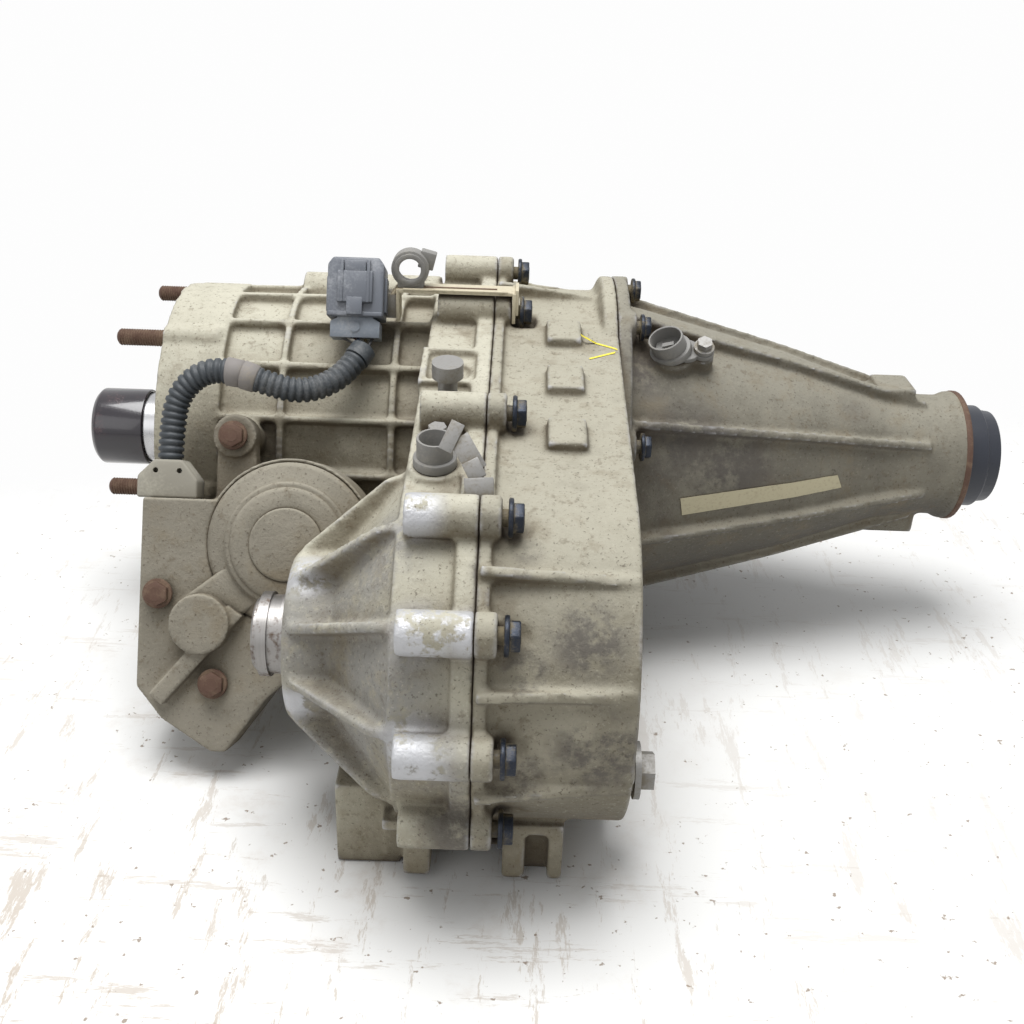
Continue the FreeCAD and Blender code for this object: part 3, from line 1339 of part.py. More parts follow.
def bracket_set():
    """Bent sheet bracket under the first case bolt, with its clips."""
    seat = D.split_place + 10
    bolt = CASE_BOLTS[0]
    sheet = BRACKET_SHEET
    tab = block("bracket_tab", (seat, bolt[0] - 9, bolt[1] - 4.5),
                (seat + sheet, bolt[0] + 9, BRACKET_TOP))
    strip = block("bracket_strip", (136, bolt[0] - 7, BRACKET_TOP - sheet),
                  (seat + sheet, bolt[0] + 7, BRACKET_TOP))
    drop = block("bracket_drop", (136, bolt[0] - 7, BRACKET_TOP - 19.5),
                 (136 + sheet, bolt[0] + 7, BRACKET_TOP))
    hole = rod("bracket_hole", D.bolt_radius + D.bolt_room, seat - 1, seat + sheet + 1, bolt)
    node("harness_bracket", cut("bracket_cut", fused("bracket_solid", [tab, strip, drop]), hole))
    arm = block("bracket_clip_arm", (129, bolt[0] - 6, BRACKET_TOP - 17.5),
                (136, bolt[0] + 5, BRACKET_TOP - 3.5))
    body = [item for item in NODES if item.Label == "connector_body"][0]
    node("bracket_clip", cut("bracket_clip_cut", arm, body))
    ring_high = BRACKET_TOP + 11
    ring = post("clip_ring", 11, 10, (144, bolt[0] + 5, ring_high), V(0, -1, 0))
    foot = block("clip_foot", (136, bolt[0] - 5, BRACKET_TOP), (152, bolt[0] + 5, BRACKET_TOP + 3))
    bore = post("clip_bore", 7.5, 12, (144, bolt[0] + 6, ring_high), V(0, -1, 0))
    gap = block("clip_gap", (142, bolt[0] - 6, ring_high), (146, bolt[0] + 6, ring_high + 12))
    clip = cut("clip_cut", fused("clip_solid", [ring, foot]), fused("clip_tools", [bore, gap]))
    node("hose_clip", clip)


# ---------------------------------------------------------------- sensors, plugs and breather


def speed_sensor(name, top, way, cross):
    """Plug-in sensor: stem in its seat, flange plate and open oval socket."""
    turn = FreeCAD.Rotation(cross, way.cross(cross), way, "XYZ")
    stem = post(name + "_stem", SENSOR_STEM, 26, along(top, way, -26), way)
    plate = turned_block(name + "_plate", (36, 22, 4), along(top + cross * 7, way, 0), turn)
    neck = post(name + "_neck", 9, 14, along(top, way, 3), way)
    shell = turned_block(name + "_shell", (21, 16, 16), along(top, way, 14), turn)
    solid = fused(name + "_solid", [stem, plate, neck, shell])
    well = turned_block(name + "_well", (17, 12, 14), along(top, way, 18), turn)
    screw = top + cross * SENSOR_SCREW_REACH
    hole = post(name + "_hole", SENSOR_SCREW + D.bolt_room, 8, along(screw, way, -1), way)
    node(name, cut(name + "_cut", solid, fused(name + "_tools", [well, hole])))


def outer_details():
    """Sensors with their screws, plugs, magnet and breather."""
    speed_sensor("front_speed_sensor", FRONT_SENSOR, FRONT_SENSOR_WAY, FRONT_SENSOR_CROSS)
    speed_sensor("rear_speed_sensor", REAR_SENSOR, REAR_SENSOR_WAY, REAR_SENSOR_CROSS)
    screw = flange_bolt("sensor_screw", SENSOR_SCREW, 8, 4, 6, 15)
    DOC.recompute()
    copies = []
    for top, way, cross in ((FRONT_SENSOR, FRONT_SENSOR_WAY, FRONT_SENSOR_CROSS),
                            (REAR_SENSOR, REAR_SENSOR_WAY, REAR_SENSOR_CROSS)):
        copy = screw.Shape.copy()
        head = along(top + cross * SENSOR_SCREW_REACH, way, 4)
        copy.Placement = FreeCAD.Placement(V(*head), turned_to(X_AXIS, way))
        copies.append(copy)
    node("sensor_bolts", coded("sensor_bolt_set", Part.makeCompound(copies)))

    plug = radial_place(-52, 60, OUT)
    back = D.rear_face_place
    stem = turned("fill_stem", [
        (back - 8, 0), (back - 8, 10), (back + 5, 10), (back + 5, 14), (back + 8, 14),
        (back + 8, 0),
    ], plug)
    head = hexagon("fill_head", 17, 8, back + 7)
    bind_place(head, (back + 7, plug[0], plug[1]))
    node("fill_plug", fused("fill_fused", [stem, head]))
    drain_stem = post("drain_stem", 8, 20, (228, -213, -113), Z_AXIS)
    drain_head = post("drain_head", 11, 4, (228, -213, -117), Z_AXIS)
    socket = DOC.addObject("Part::Prism", "drain_socket")
    socket.Polygon = 6
    socket.Circumradius = 5
    socket.Height = 7
    bind_place(socket, (228, -213, -118))
    node("drain_plug", cut("drain_cut", fused("drain_solid", [drain_stem, drain_head]), socket))
    node("magnet", post("magnet_disc", 9, 4, (228, 0, 6.6 - D.main_shell_radius), Z_AXIS))
    way = radial(TOP_ANGLE)
    base = (172,) + wall_place(TOP_ANGLE, 0.6, 0)
    stalk = post("breather_stalk", 5, 18, base, way)
    top = [part + step * 17 for part, step in zip(base, way)]
    cap = post("breather_cap", 8, 8, top, way)
    node("breather", fused("breather_solid", [stalk, cap]))


# along, up, height of the head's seat over the motor's back, grip
MOTOR_BOLTS = (
    (53, -10.5, 15, 29),
    (20, -97, MOTOR_BODY - MOTOR_BACK, 46),
    (51, -144, MOTOR_BODY - MOTOR_BACK, 32),
)

motor_set()
lead_set()
outer_details()


# ---------------------------------------------------------------- check and write

def check_and_write():
    """Stop on any failed object, then write each sub-part."""
    DOC.recompute()
    bad = [item.Name + " " + str(item.State) for item in DOC.Objects
           if "Invalid" in item.State or "Error" in item.State]
    for item in NODES:
        if item.Shape.isNull() or not item.Shape.isValid():
            bad.append(item.Label + " has no valid shape")
    if bad:
        raise RuntimeError("; ".join(bad))
    os.makedirs("parts", exist_ok=True)
    for item in NODES:
        item.Shape.exportStep("parts/" + item.Label + ".step")
        print(item.Label, len(item.Shape.Solids), round(item.Shape.Volume))


check_and_write()
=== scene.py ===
"""Dressed model of a four-wheel-drive transfer case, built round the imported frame."""
import logging
import math
from dataclasses import dataclass
from enum import Enum

import bmesh
import bpy
from mathutils import Matrix, Vector


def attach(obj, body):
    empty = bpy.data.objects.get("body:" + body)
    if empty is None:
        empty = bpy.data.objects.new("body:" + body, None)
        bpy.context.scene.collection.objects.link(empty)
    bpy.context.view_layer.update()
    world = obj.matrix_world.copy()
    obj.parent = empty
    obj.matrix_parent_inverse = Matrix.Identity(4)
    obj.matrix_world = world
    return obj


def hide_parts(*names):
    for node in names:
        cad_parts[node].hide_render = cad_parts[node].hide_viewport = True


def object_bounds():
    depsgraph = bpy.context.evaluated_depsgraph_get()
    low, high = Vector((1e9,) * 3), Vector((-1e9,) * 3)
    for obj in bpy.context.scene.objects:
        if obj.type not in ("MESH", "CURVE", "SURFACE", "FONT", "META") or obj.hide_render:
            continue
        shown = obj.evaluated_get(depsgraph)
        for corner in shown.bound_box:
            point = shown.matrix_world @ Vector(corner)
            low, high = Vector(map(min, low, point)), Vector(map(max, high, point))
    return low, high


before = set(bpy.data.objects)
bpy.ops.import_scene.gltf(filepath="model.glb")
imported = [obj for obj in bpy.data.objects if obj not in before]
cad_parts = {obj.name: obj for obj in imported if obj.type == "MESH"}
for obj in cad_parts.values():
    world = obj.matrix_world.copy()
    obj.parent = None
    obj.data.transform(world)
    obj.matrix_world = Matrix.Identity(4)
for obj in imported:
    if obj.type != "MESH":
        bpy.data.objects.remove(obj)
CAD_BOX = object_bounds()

LOG = logging.getLogger("transfer_case")
MM = 0.001

Colour = tuple[float, float, float]
Spot = tuple[float, float, float]
Patches = tuple[tuple[Spot, float], ...]
Strips = tuple[tuple[Spot, Spot, float], ...]
Piece = bpy.types.Object
Finish = bpy.types.Material

AHEAD = Vector((1.0, 0.0, 0.0))
LEVEL = Matrix.Identity(3)


# ------------------------------------------------------------------ shader maths


class Operation(Enum):
    """What a Math node does."""

    ADD = "ADD"
    SUBTRACT = "SUBTRACT"
    MULTIPLY = "MULTIPLY"
    MAXIMUM = "MAXIMUM"


class Signal:
    """A shader socket that takes part in Python expressions."""

    def __init__(self, maker: "NodeTree", socket: bpy.types.NodeSocket) -> None:
        """Keep the socket and the tree that it belongs to."""
        self.maker = maker
        self.socket = socket

    def __add__(self, other: "Value") -> "Signal":
        """Sum."""
        return self.maker.math(Operation.ADD, self, other)

    def __radd__(self, other: float) -> "Signal":
        """Sum, reflected."""
        return self.maker.math(Operation.ADD, other, self)

    def __sub__(self, other: "Value") -> "Signal":
        """Difference."""
        return self.maker.math(Operation.SUBTRACT, self, other)

    def __rsub__(self, other: float) -> "Signal":
        """Difference, reflected."""
        return self.maker.math(Operation.SUBTRACT, other, self)

    def __mul__(self, other: "Value") -> "Signal":
        """Product."""
        return self.maker.math(Operation.MULTIPLY, self, other)

    def __rmul__(self, other: float) -> "Signal":
        """Product, reflected."""
        return self.maker.math(Operation.MULTIPLY, other, self)


Value = Signal | float
Tone = Signal | Colour


class NodeTree:
    """The shader nodes of one material or world."""

    def __init__(self, owner: Finish | bpy.types.World) -> None:
        """Start from an empty tree.

        Args:
            owner: The material or world.
        """
        owner.use_nodes = True
        self.tree = owner.node_tree
        self.tree.nodes.clear()

    def node(self, kind: str, settings: dict | None = None, values: dict | None = None) -> bpy.types.Node:
        """Make one node.

        Args:
            kind: The node type.
            settings: Its attributes, which are set first.
            values: Input values or links, by socket name or index.

        Returns:
            The new node.
        """
        made = self.tree.nodes.new(kind)
        for key, value in (settings or {}).items():
            setattr(made, key, value)
        for key, value in (values or {}).items():
            if isinstance(value, Signal):
                self.tree.links.new(value.socket, made.inputs[key])
            else:
                made.inputs[key].default_value = value
        return made

    def pick(self, kind: str, output: str | int, settings: dict | None = None,
             values: dict | None = None) -> Signal:
        """Make a node and take one of its outputs."""
        return Signal(self, self.node(kind, settings, values).outputs[output])

    def math(self, operation: Operation, left: Value, right: Value) -> Signal:
        """A Math node on two values."""
        return self.pick("ShaderNodeMath", 0, {"operation": operation.value}, {0: left, 1: right})


class Recipe(NodeTree):
    """One material's node tree and the methods that grow it."""

    def __init__(self, name: str, first: Tone = (1.0, 1.0, 1.0)) -> None:
        """Start a material with a Principled shader.

        Args:
            name: The material's name.
            first: The colour under every coat.
        """
        self.material = bpy.data.materials.new(name)
        super().__init__(self.material)
        self.shader = self.node("ShaderNodeBsdfPrincipled")
        self.surface = Signal(self, self.shader.outputs[0])
        self.output = self.node("ShaderNodeOutputMaterial", None, {"Surface": self.surface})
        self.colour = first

    def place(self) -> Signal:
        """Object coordinates, which are the row frame in metres."""
        return self.pick("ShaderNodeTexCoord", "Object")

    def noise(self, scale: float, detail: float, rough: float, stretch: Spot | None = None) -> Signal:
        """Fractal noise in the row frame.

        Args:
            scale: Features per metre.
            detail: Octaves.
            rough: Weight of the fine octaves.
            stretch: Scale of each axis, for streaks.

        Returns:
            The noise value, about 0.5 in the middle.
        """
        place = self.place()
        if stretch:
            place = self.pick("ShaderNodeMapping", "Vector", None, {"Vector": place, "Scale": stretch})
        return self.pick("ShaderNodeTexNoise", 0, None,
                         {"Vector": place, "Scale": scale, "Detail": detail, "Roughness": rough})

    def measure(self, operation: str, first: Signal, second: Spot) -> Signal:
        """A number that Vector Math gives for two vectors."""
        return self.pick("ShaderNodeVectorMath", "Value", {"operation": operation}, {0: first, 1: second})

    def band(self, value: Signal, low: float, high: float) -> Signal:
        """Smooth step from 0 at low to 1 at high."""
        return self.pick("ShaderNodeMapRange", 0, {"interpolation_type": "SMOOTHSTEP"},
                         {"Value": value, "From Min": low, "From Max": high})

    def hollow(self, reach: float) -> Signal:
        """How enclosed a point is, 0 in the open and 1 in a corner."""
        return 1.0 - self.pick("ShaderNodeAmbientOcclusion", "AO", {"samples": 6}, {"Distance": reach})

    def edge(self) -> Signal:
        """Pointiness of a dense mesh, above 0.5 on convex edges."""
        return self.pick("ShaderNodeNewGeometry", "Pointiness")

    def upward(self) -> Signal:
        """How far the surface faces up: 1 on top, -1 below."""
        return self.measure("DOT_PRODUCT", self.pick("ShaderNodeNewGeometry", "Normal"), (0, 0, 1))

    def beyond(self, way: Spot) -> Signal:
        """Distance along a direction of the row frame."""
        return self.measure("DOT_PRODUCT", self.place(), way)

    def near(self, centre: Spot, reach: float) -> Signal:
        """A soft ball round a point of the row frame: 1 inside, 0 beyond the reach."""
        return 1.0 - self.band(self.measure("DISTANCE", self.place(), centre), reach * 0.35, reach)

    def patches(self, spots: Patches) -> Value:
        """The strongest of several soft balls.

        Args:
            spots: Centre and reach of each ball.

        Returns:
            Its value, or 0 where there are no balls.
        """
        share: Value = 0.0
        for centre, reach in spots:
            share = self.math(Operation.MAXIMUM, share, self.near(centre, reach))
        return share

    def mix(self, share: Value, first: Tone, second: Tone) -> Signal:
        """Blend two colours.

        Args:
            share: 0 gives the first, 1 the second.
            first: A colour or a colour link.
            second: A colour or a colour link.

        Returns:
            The blended colour.
        """
        values = {0: share}
        for key, colour in ((6, first), (7, second)):
            values[key] = colour if isinstance(colour, Signal) else (*colour, 1.0)
        return self.pick("ShaderNodeMix", 2, {"data_type": "RGBA"}, values)

    def coat(self, share: Value, tone: Tone) -> None:
        """Lay a tone over the colour so far."""
        self.colour = self.mix(share, self.colour, tone)

    def feed(self, **inputs: Value) -> None:
        """Set or link inputs of the Principled shader.

        Args:
            inputs: Value or link of each input, by its name with underscores for spaces.
        """
        for name, value in inputs.items():
            socket = self.shader.inputs[name.replace("_", " ")]
            if isinstance(value, Signal):
                self.tree.links.new(value.socket, socket)
            else:
                socket.default_value = value

    def bump(self, height: Signal, depth: float, strength: float) -> None:
        """Feed a bump from a height signal, depth in metres."""
        self.feed(Normal=self.pick("ShaderNodeBump", 0, None,
                                   {"Height": height, "Distance": depth, "Strength": strength}))


# ------------------------------------------------------------------ finishes


@dataclass(frozen=True)
class CastAluminium:
    """Sand-grained die casting under road dust, rubbed bare on its edges, with painted light on its upward
    faces and painted shade on its downward faces and in its hollows.
    """

    name: str
    dust: Colour = (0.235, 0.215, 0.160)
    pale: Colour = (0.340, 0.322, 0.252)
    # Pale dust tone of the light flecks, also the painted light on upward faces.
    chalk_and_top_light: Colour = (0.520, 0.500, 0.410)
    shade: Colour = (0.105, 0.094, 0.074)
    # Near-black grime of the tight corners, also their painted shade.
    grime_and_corner_shade: Colour = (0.045, 0.032, 0.020)
    bare: Colour = (0.45, 0.455, 0.475)
    rubbed: Patches = ()
    cleaned: Patches = ()
    stained: Patches = ()
    wear: float = 0.6

    def make(self) -> Finish:
        """Build the material.

        Returns:
            The new material.
        """
        r = Recipe(self.name)
        clouds = r.noise(13.0, 5.0, 0.6)
        blotch = r.noise(48.0, 6.0, 0.68)
        drops = r.noise(170.0, 4.0, 0.7)
        fleck = r.noise(620.0, 3.0, 0.6)
        broad = r.noise(5.5, 3.0, 0.5)
        up = r.upward()
        clean = r.patches(self.cleaned) * r.band(clouds + (drops - 0.5) * 0.7, 0.30, 0.55)
        # Silt in the hollows, thicker the more enclosed a point is, so it also paints their shade.
        silt_and_shade = r.band(r.hollow(0.045) + (blotch - 0.5) * 0.4, 0.12, 0.55)
        soil = r.patches(self.stained) * r.band(blotch + (drops - 0.5) * 0.5, 0.36, 0.58)
        # Tight corners, found by ambient occlusion, for grime and painted shade.
        corner = r.band(r.hollow(0.020) + (blotch - 0.5) * 0.6, 0.30, 0.78)
        crest = r.band(r.edge() + (blotch - 0.5) * 0.12, 0.530, 0.585) * self.wear
        worn = r.patches(self.rubbed) * r.band(blotch * 0.6 + drops * 0.4, 0.42, 0.50)
        rub = r.math(Operation.MAXIMUM, crest, worn) * (1.0 - corner)
        r.colour = r.mix(r.band(clouds, 0.40, 0.60), self.dust, self.pale)
        r.coat(r.band(broad + (blotch - 0.5) * 0.5, 0.50, 0.66) * 0.45, self.shade)
        # Painted light: upward faces take the pale chalk tone, with some settled dust.
        r.coat(r.band(up + (blotch - 0.5) * 1.2, 0.25, 1.05) * 0.75, self.chalk_and_top_light)
        # Painted shade: downward faces take the shade tone.
        r.coat(r.band(0.0 - up + (clouds - 0.5) * 0.8, 0.05, 0.85) * 0.7, self.shade)
        r.coat(clean * 0.75, (0.200, 0.197, 0.192))
        r.coat(r.band(blotch, 0.50, 0.72) * 0.50, (0.150, 0.118, 0.072))
        r.coat(r.band(drops, 0.56, 0.70) * 0.45, (0.095, 0.070, 0.042))
        r.coat(r.band(fleck, 0.61, 0.68) * 0.60, (0.050, 0.036, 0.022))
        r.coat(r.band(1.0 - fleck, 0.61, 0.68) * 0.30, self.chalk_and_top_light)
        # Brown silt and painted shade in the hollows.
        r.coat(silt_and_shade * 0.55, (0.140, 0.108, 0.062))
        r.coat(soil * 0.80, (0.070, 0.062, 0.056))
        # Painted shade with grime, near black, in the tight corners.
        r.coat(corner * 0.88, self.grime_and_corner_shade)
        r.coat(rub * 0.92, self.bare)
        r.feed(Base_Color=r.colour, Metallic=rub * 0.45, Roughness=0.86 - rub * 0.36 + (drops - 0.5) * 0.16)
        r.bump(fleck * 0.45 + drops * 0.65 + blotch * 0.9, 0.0009, 0.9)
        return r.material


@dataclass(frozen=True)
class DustyPaint:
    """Matte painted or plated metal under an even coat of dirt."""

    name: str
    paint: Colour
    dirt: Colour
    coverage: float = 0.5
    shine: float = 0.75
    metal: float = 0.0
    scale: float = 60.0

    def make(self) -> Finish:
        """Build the material.

        Returns:
            The new material.
        """
        r = Recipe(self.name, self.paint)
        blotch = r.noise(self.scale, 6.0, 0.65)
        fine = r.noise(self.scale * 9, 3.0, 0.6)
        cover = r.band(blotch + (fine - 0.5) * 0.3 + r.hollow(0.008) * 0.5, 0.75 - self.coverage * 0.5,
                       1.15 - self.coverage * 0.5)
        r.coat(cover, self.dirt)
        r.coat(r.band(fine, 0.5, 0.75) * 0.25, tuple(0.6 * part for part in self.dirt))
        r.feed(Base_Color=r.colour, Metallic=(1.0 - cover) * self.metal,
               Roughness=self.shine + cover * (0.9 - self.shine))
        r.bump(blotch * 0.6 + fine * 0.4, 0.0004, 0.7)
        return r.material


@dataclass(frozen=True)
class Steel:
    """Machined or worn steel with fine turning marks and a little rust."""

    name: str
    bright: Colour = (0.52, 0.52, 0.53)
    rust: Colour = (0.16, 0.075, 0.035)
    rusty: float = 0.25
    shine: float = 0.28

    def make(self) -> Finish:
        """Build the material.

        Returns:
            The new material.
        """
        r = Recipe(self.name, tuple(0.75 * part for part in self.bright))
        patch = r.noise(70.0, 6.0, 0.7)
        lines = r.noise(40.0, 3.0, 0.5, (30.0, 1.0, 1.0))
        spots = r.band(patch + (r.noise(420.0, 3.0, 0.6) - 0.5) * 0.4, 0.80 - self.rusty * 0.5,
                       0.95 - self.rusty * 0.4)
        r.coat(lines, self.bright)
        r.coat(spots, self.rust)
        r.feed(Base_Color=r.colour, Metallic=1.0 - spots * 0.8,
               Roughness=self.shine + spots * 0.5 + (patch - 0.5) * 0.15)
        r.bump(lines * 0.5 + patch * 0.5, 0.00015, 0.6)
        return r.material


@dataclass(frozen=True)
class Moulded:
    """Moulded rubber or plastic, faded and dusty."""

    name: str
    tone: Colour
    dust: Colour = (0.20, 0.185, 0.155)
    dusty: float = 0.3
    shine: float = 0.5
    gloss: float = 0.0

    def make(self) -> Finish:
        """Build the material.

        Returns:
            The new material.
        """
        r = Recipe(self.name, self.tone)
        film = r.noise(35.0, 6.0, 0.6)
        speck = r.noise(700.0, 2.0, 0.6)
        low, high = 0.70 - self.dusty * 0.5, 1.0 - self.dusty * 0.4
        share = r.band(film + (speck - 0.5) * 0.35, low, high) * self.dusty * 1.6
        r.coat(share, self.dust)
        r.feed(Base_Color=r.colour, Roughness=self.shine + share * 0.4, Coat_Weight=self.gloss)
        r.bump(speck, 0.00012, 0.5)
        return r.material


@dataclass(frozen=True)
class PaleFloor:
    """White bench top with faint scratches, specks and stains, lost in white behind the part."""

    name: str = "pale_bench"
    back: Spot = (-0.2616, 0.9652, 0.0)
    fade_start: float = 0.06
    fade_end: float = 0.20
    middle: Spot = (0.22, -0.05, -0.118)
    reach: float = 1.5

    def make(self) -> Finish:
        """Build the material.

        Returns:
            The new material.
        """
        r = Recipe(self.name, (0.70, 0.695, 0.68))
        near = 1.0 - r.band(r.beyond((0.45, 1.0, 0.0)), -0.55, 0.05)
        scratch = r.band(r.noise(8.0, 8.0, 0.80, (8.0, 1.4, 1.0)), 0.560, 0.605)
        cross = r.band(r.noise(10.0, 8.0, 0.80, (1.2, 9.0, 1.0)), 0.570, 0.615)
        stain = r.band(r.noise(16.0, 7.0, 0.74), 0.50, 0.72)
        speck = r.band(r.noise(190.0, 3.0, 0.6), 0.67, 0.72)
        r.coat(r.noise(3.0, 4.0, 0.6), (0.80, 0.80, 0.79))
        r.coat(scratch * (near * 0.60 + 0.20), (0.36, 0.28, 0.20))
        r.coat(cross * (near * 0.55 + 0.15), (0.38, 0.31, 0.24))
        r.coat(stain * (near * 0.50 + 0.12), (0.46, 0.38, 0.31))
        r.coat(speck * 0.8, (0.20, 0.14, 0.09))
        r.feed(Base_Color=r.colour, Roughness=0.6)
        glow = r.pick("ShaderNodeEmission", 0, None, {"Color": (0.985, 0.985, 0.985, 1.0), "Strength": 1.0})
        far = 1.0 - r.near(self.middle, self.reach)
        away = r.math(Operation.MAXIMUM, r.band(r.beyond(self.back), self.fade_start, self.fade_end), far)
        seen = r.pick("ShaderNodeLightPath", "Is Camera Ray")
        blend = r.pick("ShaderNodeMixShader", 0, None, {0: away * seen, 1: r.surface, 2: glow})
        r.tree.links.new(blend.socket, r.output.inputs["Surface"])
        return r.material


# ------------------------------------------------------------------ modelling helpers


def drop_selection() -> None:
    """Leave edit mode and select nothing."""
    if bpy.context.object and bpy.context.object.mode != "OBJECT":
        bpy.ops.object.mode_set(mode="OBJECT")
    bpy.ops.object.select_all(action="DESELECT")


def focus(piece: Piece) -> None:
    """Select one object alone and make it active.

    Args:
        piece: The object.
    """
    drop_selection()
    piece.select_set(True)
    bpy.context.view_layer.objects.active = piece


def open_mesh(piece: Piece) -> None:
    """Enter edit mode with the whole mesh selected.

    Args:
        piece: The object.
    """
    focus(piece)
    bpy.ops.object.mode_set(mode="EDIT")
    bpy.ops.mesh.select_all(action="SELECT")


def close_skin(angle: float) -> None:
    """Turn the faces of the mesh in edit mode outward, leave it and shade smoothly.

    Args:
        angle: The sharpest turn that is shaded smooth, in degrees.
    """
    bpy.ops.mesh.select_all(action="SELECT")
    bpy.ops.mesh.normals_make_consistent(inside=False)
    bpy.ops.object.mode_set(mode="OBJECT")
    bpy.ops.object.shade_smooth_by_angle(angle=math.radians(angle))


def modify(piece: Piece, kind: str, settings: dict) -> None:
    """Add a modifier and apply it.

    Args:
        piece: The object.
        kind: The modifier type.
        settings: Its attributes.
    """
    focus(piece)
    made = piece.modifiers.new(kind.lower(), kind)
    for key, value in settings.items():
        setattr(made, key, value)
    bpy.ops.object.modifier_apply(modifier=made.name)


def cut(piece: Piece, tool: Piece) -> None:
    """Take a tool's shape out of a piece and throw the tool away."""
    modify(piece, "BOOLEAN", {"operation": "DIFFERENCE", "object": tool})
    bpy.data.objects.remove(tool)


def settle(piece: Piece) -> None:
    """Put the place, turn and scale into the mesh."""
    focus(piece)
    bpy.ops.object.transform_apply(location=True, rotation=True, scale=True)


def soften(piece: Piece, width: float, angle: float = 30.0, steps: int = 2, shade: float = 38.0) -> None:
    """Round the sharp edges and shade smoothly.

    Args:
        piece: The object.
        width: Width of the rounding, in millimetres.
        angle: The least turn that counts as an edge, in degrees.
        steps: Faces across a rounded edge.
        shade: The sharpest turn that is shaded smooth, in degrees.
    """
    modify(piece, "BEVEL", {"width": width * MM, "segments": steps, "limit_method": "ANGLE",
                            "angle_limit": math.radians(angle)})
    focus(piece)
    bpy.ops.object.shade_smooth_by_angle(angle=math.radians(shade))


def weld(pieces: list[Piece], name: str) -> Piece:
    """Join objects into one and name it and its mesh.

    Args:
        pieces: The objects, or a single one.
        name: The name of the result.

    Returns:
        The joined object.
    """
    drop_selection()
    for piece in pieces:
        piece.select_set(True)
    bpy.context.view_layer.objects.active = pieces[0]
    if len(pieces) > 1:
        bpy.ops.object.join()
    pieces[0].name = name
    pieces[0].data.name = name
    return pieces[0]


def dress(piece: Piece, finish: Finish) -> None:
    """Give an object one material."""
    piece.data.materials.clear()
    piece.data.materials.append(finish)


def axes_to(way: Vector) -> Matrix:
    """Rotation whose local Z points along a direction and whose local X stays near X.

    Args:
        way: The direction.

    Returns:
        The rotation, three by three.
    """
    z = way.normalized()
    x = AHEAD - z * z.x
    if x.length < 1e-3:
        x = Vector((0.0, 1.0, 0.0)) - z * z.y
    x.normalize()
    return Matrix((x, z.cross(x), z)).transposed()


def round_post(radius: float, height: float, base: Vector, way: Vector, sides: int = 32,
               stretch: float = 1.0) -> Piece:
    """Cylinder from a base point along a direction.

    Args:
        radius: Its radius, in millimetres.
        height: Its length, in millimetres.
        base: Middle of its near end.
        way: Direction of its axis.
        sides: Corners of its circle.
        stretch: Widening of the circle near X.

    Returns:
        The cylinder.
    """
    drop_selection()
    middle = base + way.normalized() * (height * MM / 2)
    bpy.ops.mesh.primitive_cylinder_add(vertices=sides, radius=radius * MM, depth=height * MM,
                                        location=middle, rotation=axes_to(way).to_euler())
    piece = bpy.context.object
    piece.scale = (stretch, 1.0, 1.0)
    settle(piece)
    return piece


def tube(outer: float, inner: float, height: float, base: Vector, way: Vector, stretch: float = 1.0,
         depth: float | None = None) -> Piece:
    """Cylinder with a round hole from its far end.

    Args:
        outer: Outside radius, in millimetres.
        inner: Radius of the hole.
        height: Length of the cylinder.
        base: Middle of its near end.
        way: Direction of its axis.
        stretch: Widening of both circles near X.
        depth: Depth of the hole, through if none is given.

    Returns:
        The tube.
    """
    unit = way.normalized()
    piece = round_post(outer, height, base, unit, 48, stretch)
    start = base + unit * ((-1 if depth is None else height - depth) * MM)
    cut(piece, round_post(inner, height + 2, start, unit, 48, stretch + (stretch - 1) * 0.3))
    return piece


def plate(sizes: Spot, middle: Vector, turn: Matrix = LEVEL) -> Piece:
    """Box round a middle point.

    Args:
        sizes: Its sizes along its own axes, in millimetres.
        middle: Its middle.
        turn: Its rotation.

    Returns:
        The box.
    """
    drop_selection()
    bpy.ops.mesh.primitive_cube_add(size=1.0, location=middle, rotation=turn.to_euler())
    piece = bpy.context.object
    piece.scale = [size * MM for size in sizes]
    settle(piece)
    return piece


def islands(node: str) -> list[list[Vector]]:
    """Corner points of each separate solid in a CAD node.

    Args:
        node: The CAD node's name.

    Returns:
        One list of points for each solid.
    """
    mesh = bmesh.new()
    mesh.from_mesh(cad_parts[node].data)
    bmesh.ops.remove_doubles(mesh, verts=mesh.verts, dist=1e-5)
    seen = set()
    groups = []
    for start in mesh.verts:
        if start in seen:
            continue
        stack, group = [start], []
        seen.add(start)
        while stack:
            vert = stack.pop()
            group.append(vert.co.copy())
            for link in vert.link_edges:
                other = link.other_vert(vert)
                if other not in seen:
                    seen.add(other)
                    stack.append(other)
        groups.append(group)
    mesh.free()
    return groups


def extent(points: list[Vector], way: Vector) -> tuple[float, float, Vector]:
    """Reach of a solid along a direction, and its middle across it.

    Args:
        points: Its corner points.
        way: The direction.

    Returns:
        The near end, the far end and the middle of the outline, in the plane through the origin.
    """
    along = [point.dot(way) for point in points]
    across = [point - way * reach for point, reach in zip(points, along)]
    lows = Vector([min(point[axis] for point in across) for axis in range(3)])
    highs = Vector([max(point[axis] for point in across) for axis in range(3)])
    return min(along), max(along), (lows + highs) / 2


def cad_copy(node: str) -> Piece:
    """A merged copy of a CAD node's mesh as a new object.

    Args:
        node: The CAD node's name.

    Returns:
        The copy.
    """
    piece = bpy.data.objects.new(node + "_copy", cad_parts[node].data.copy())
    bpy.context.scene.collection.objects.link(piece)
    open_mesh(piece)
    bpy.ops.mesh.remove_doubles(threshold=1e-5)
    bpy.ops.object.mode_set(mode="OBJECT")
    return piece


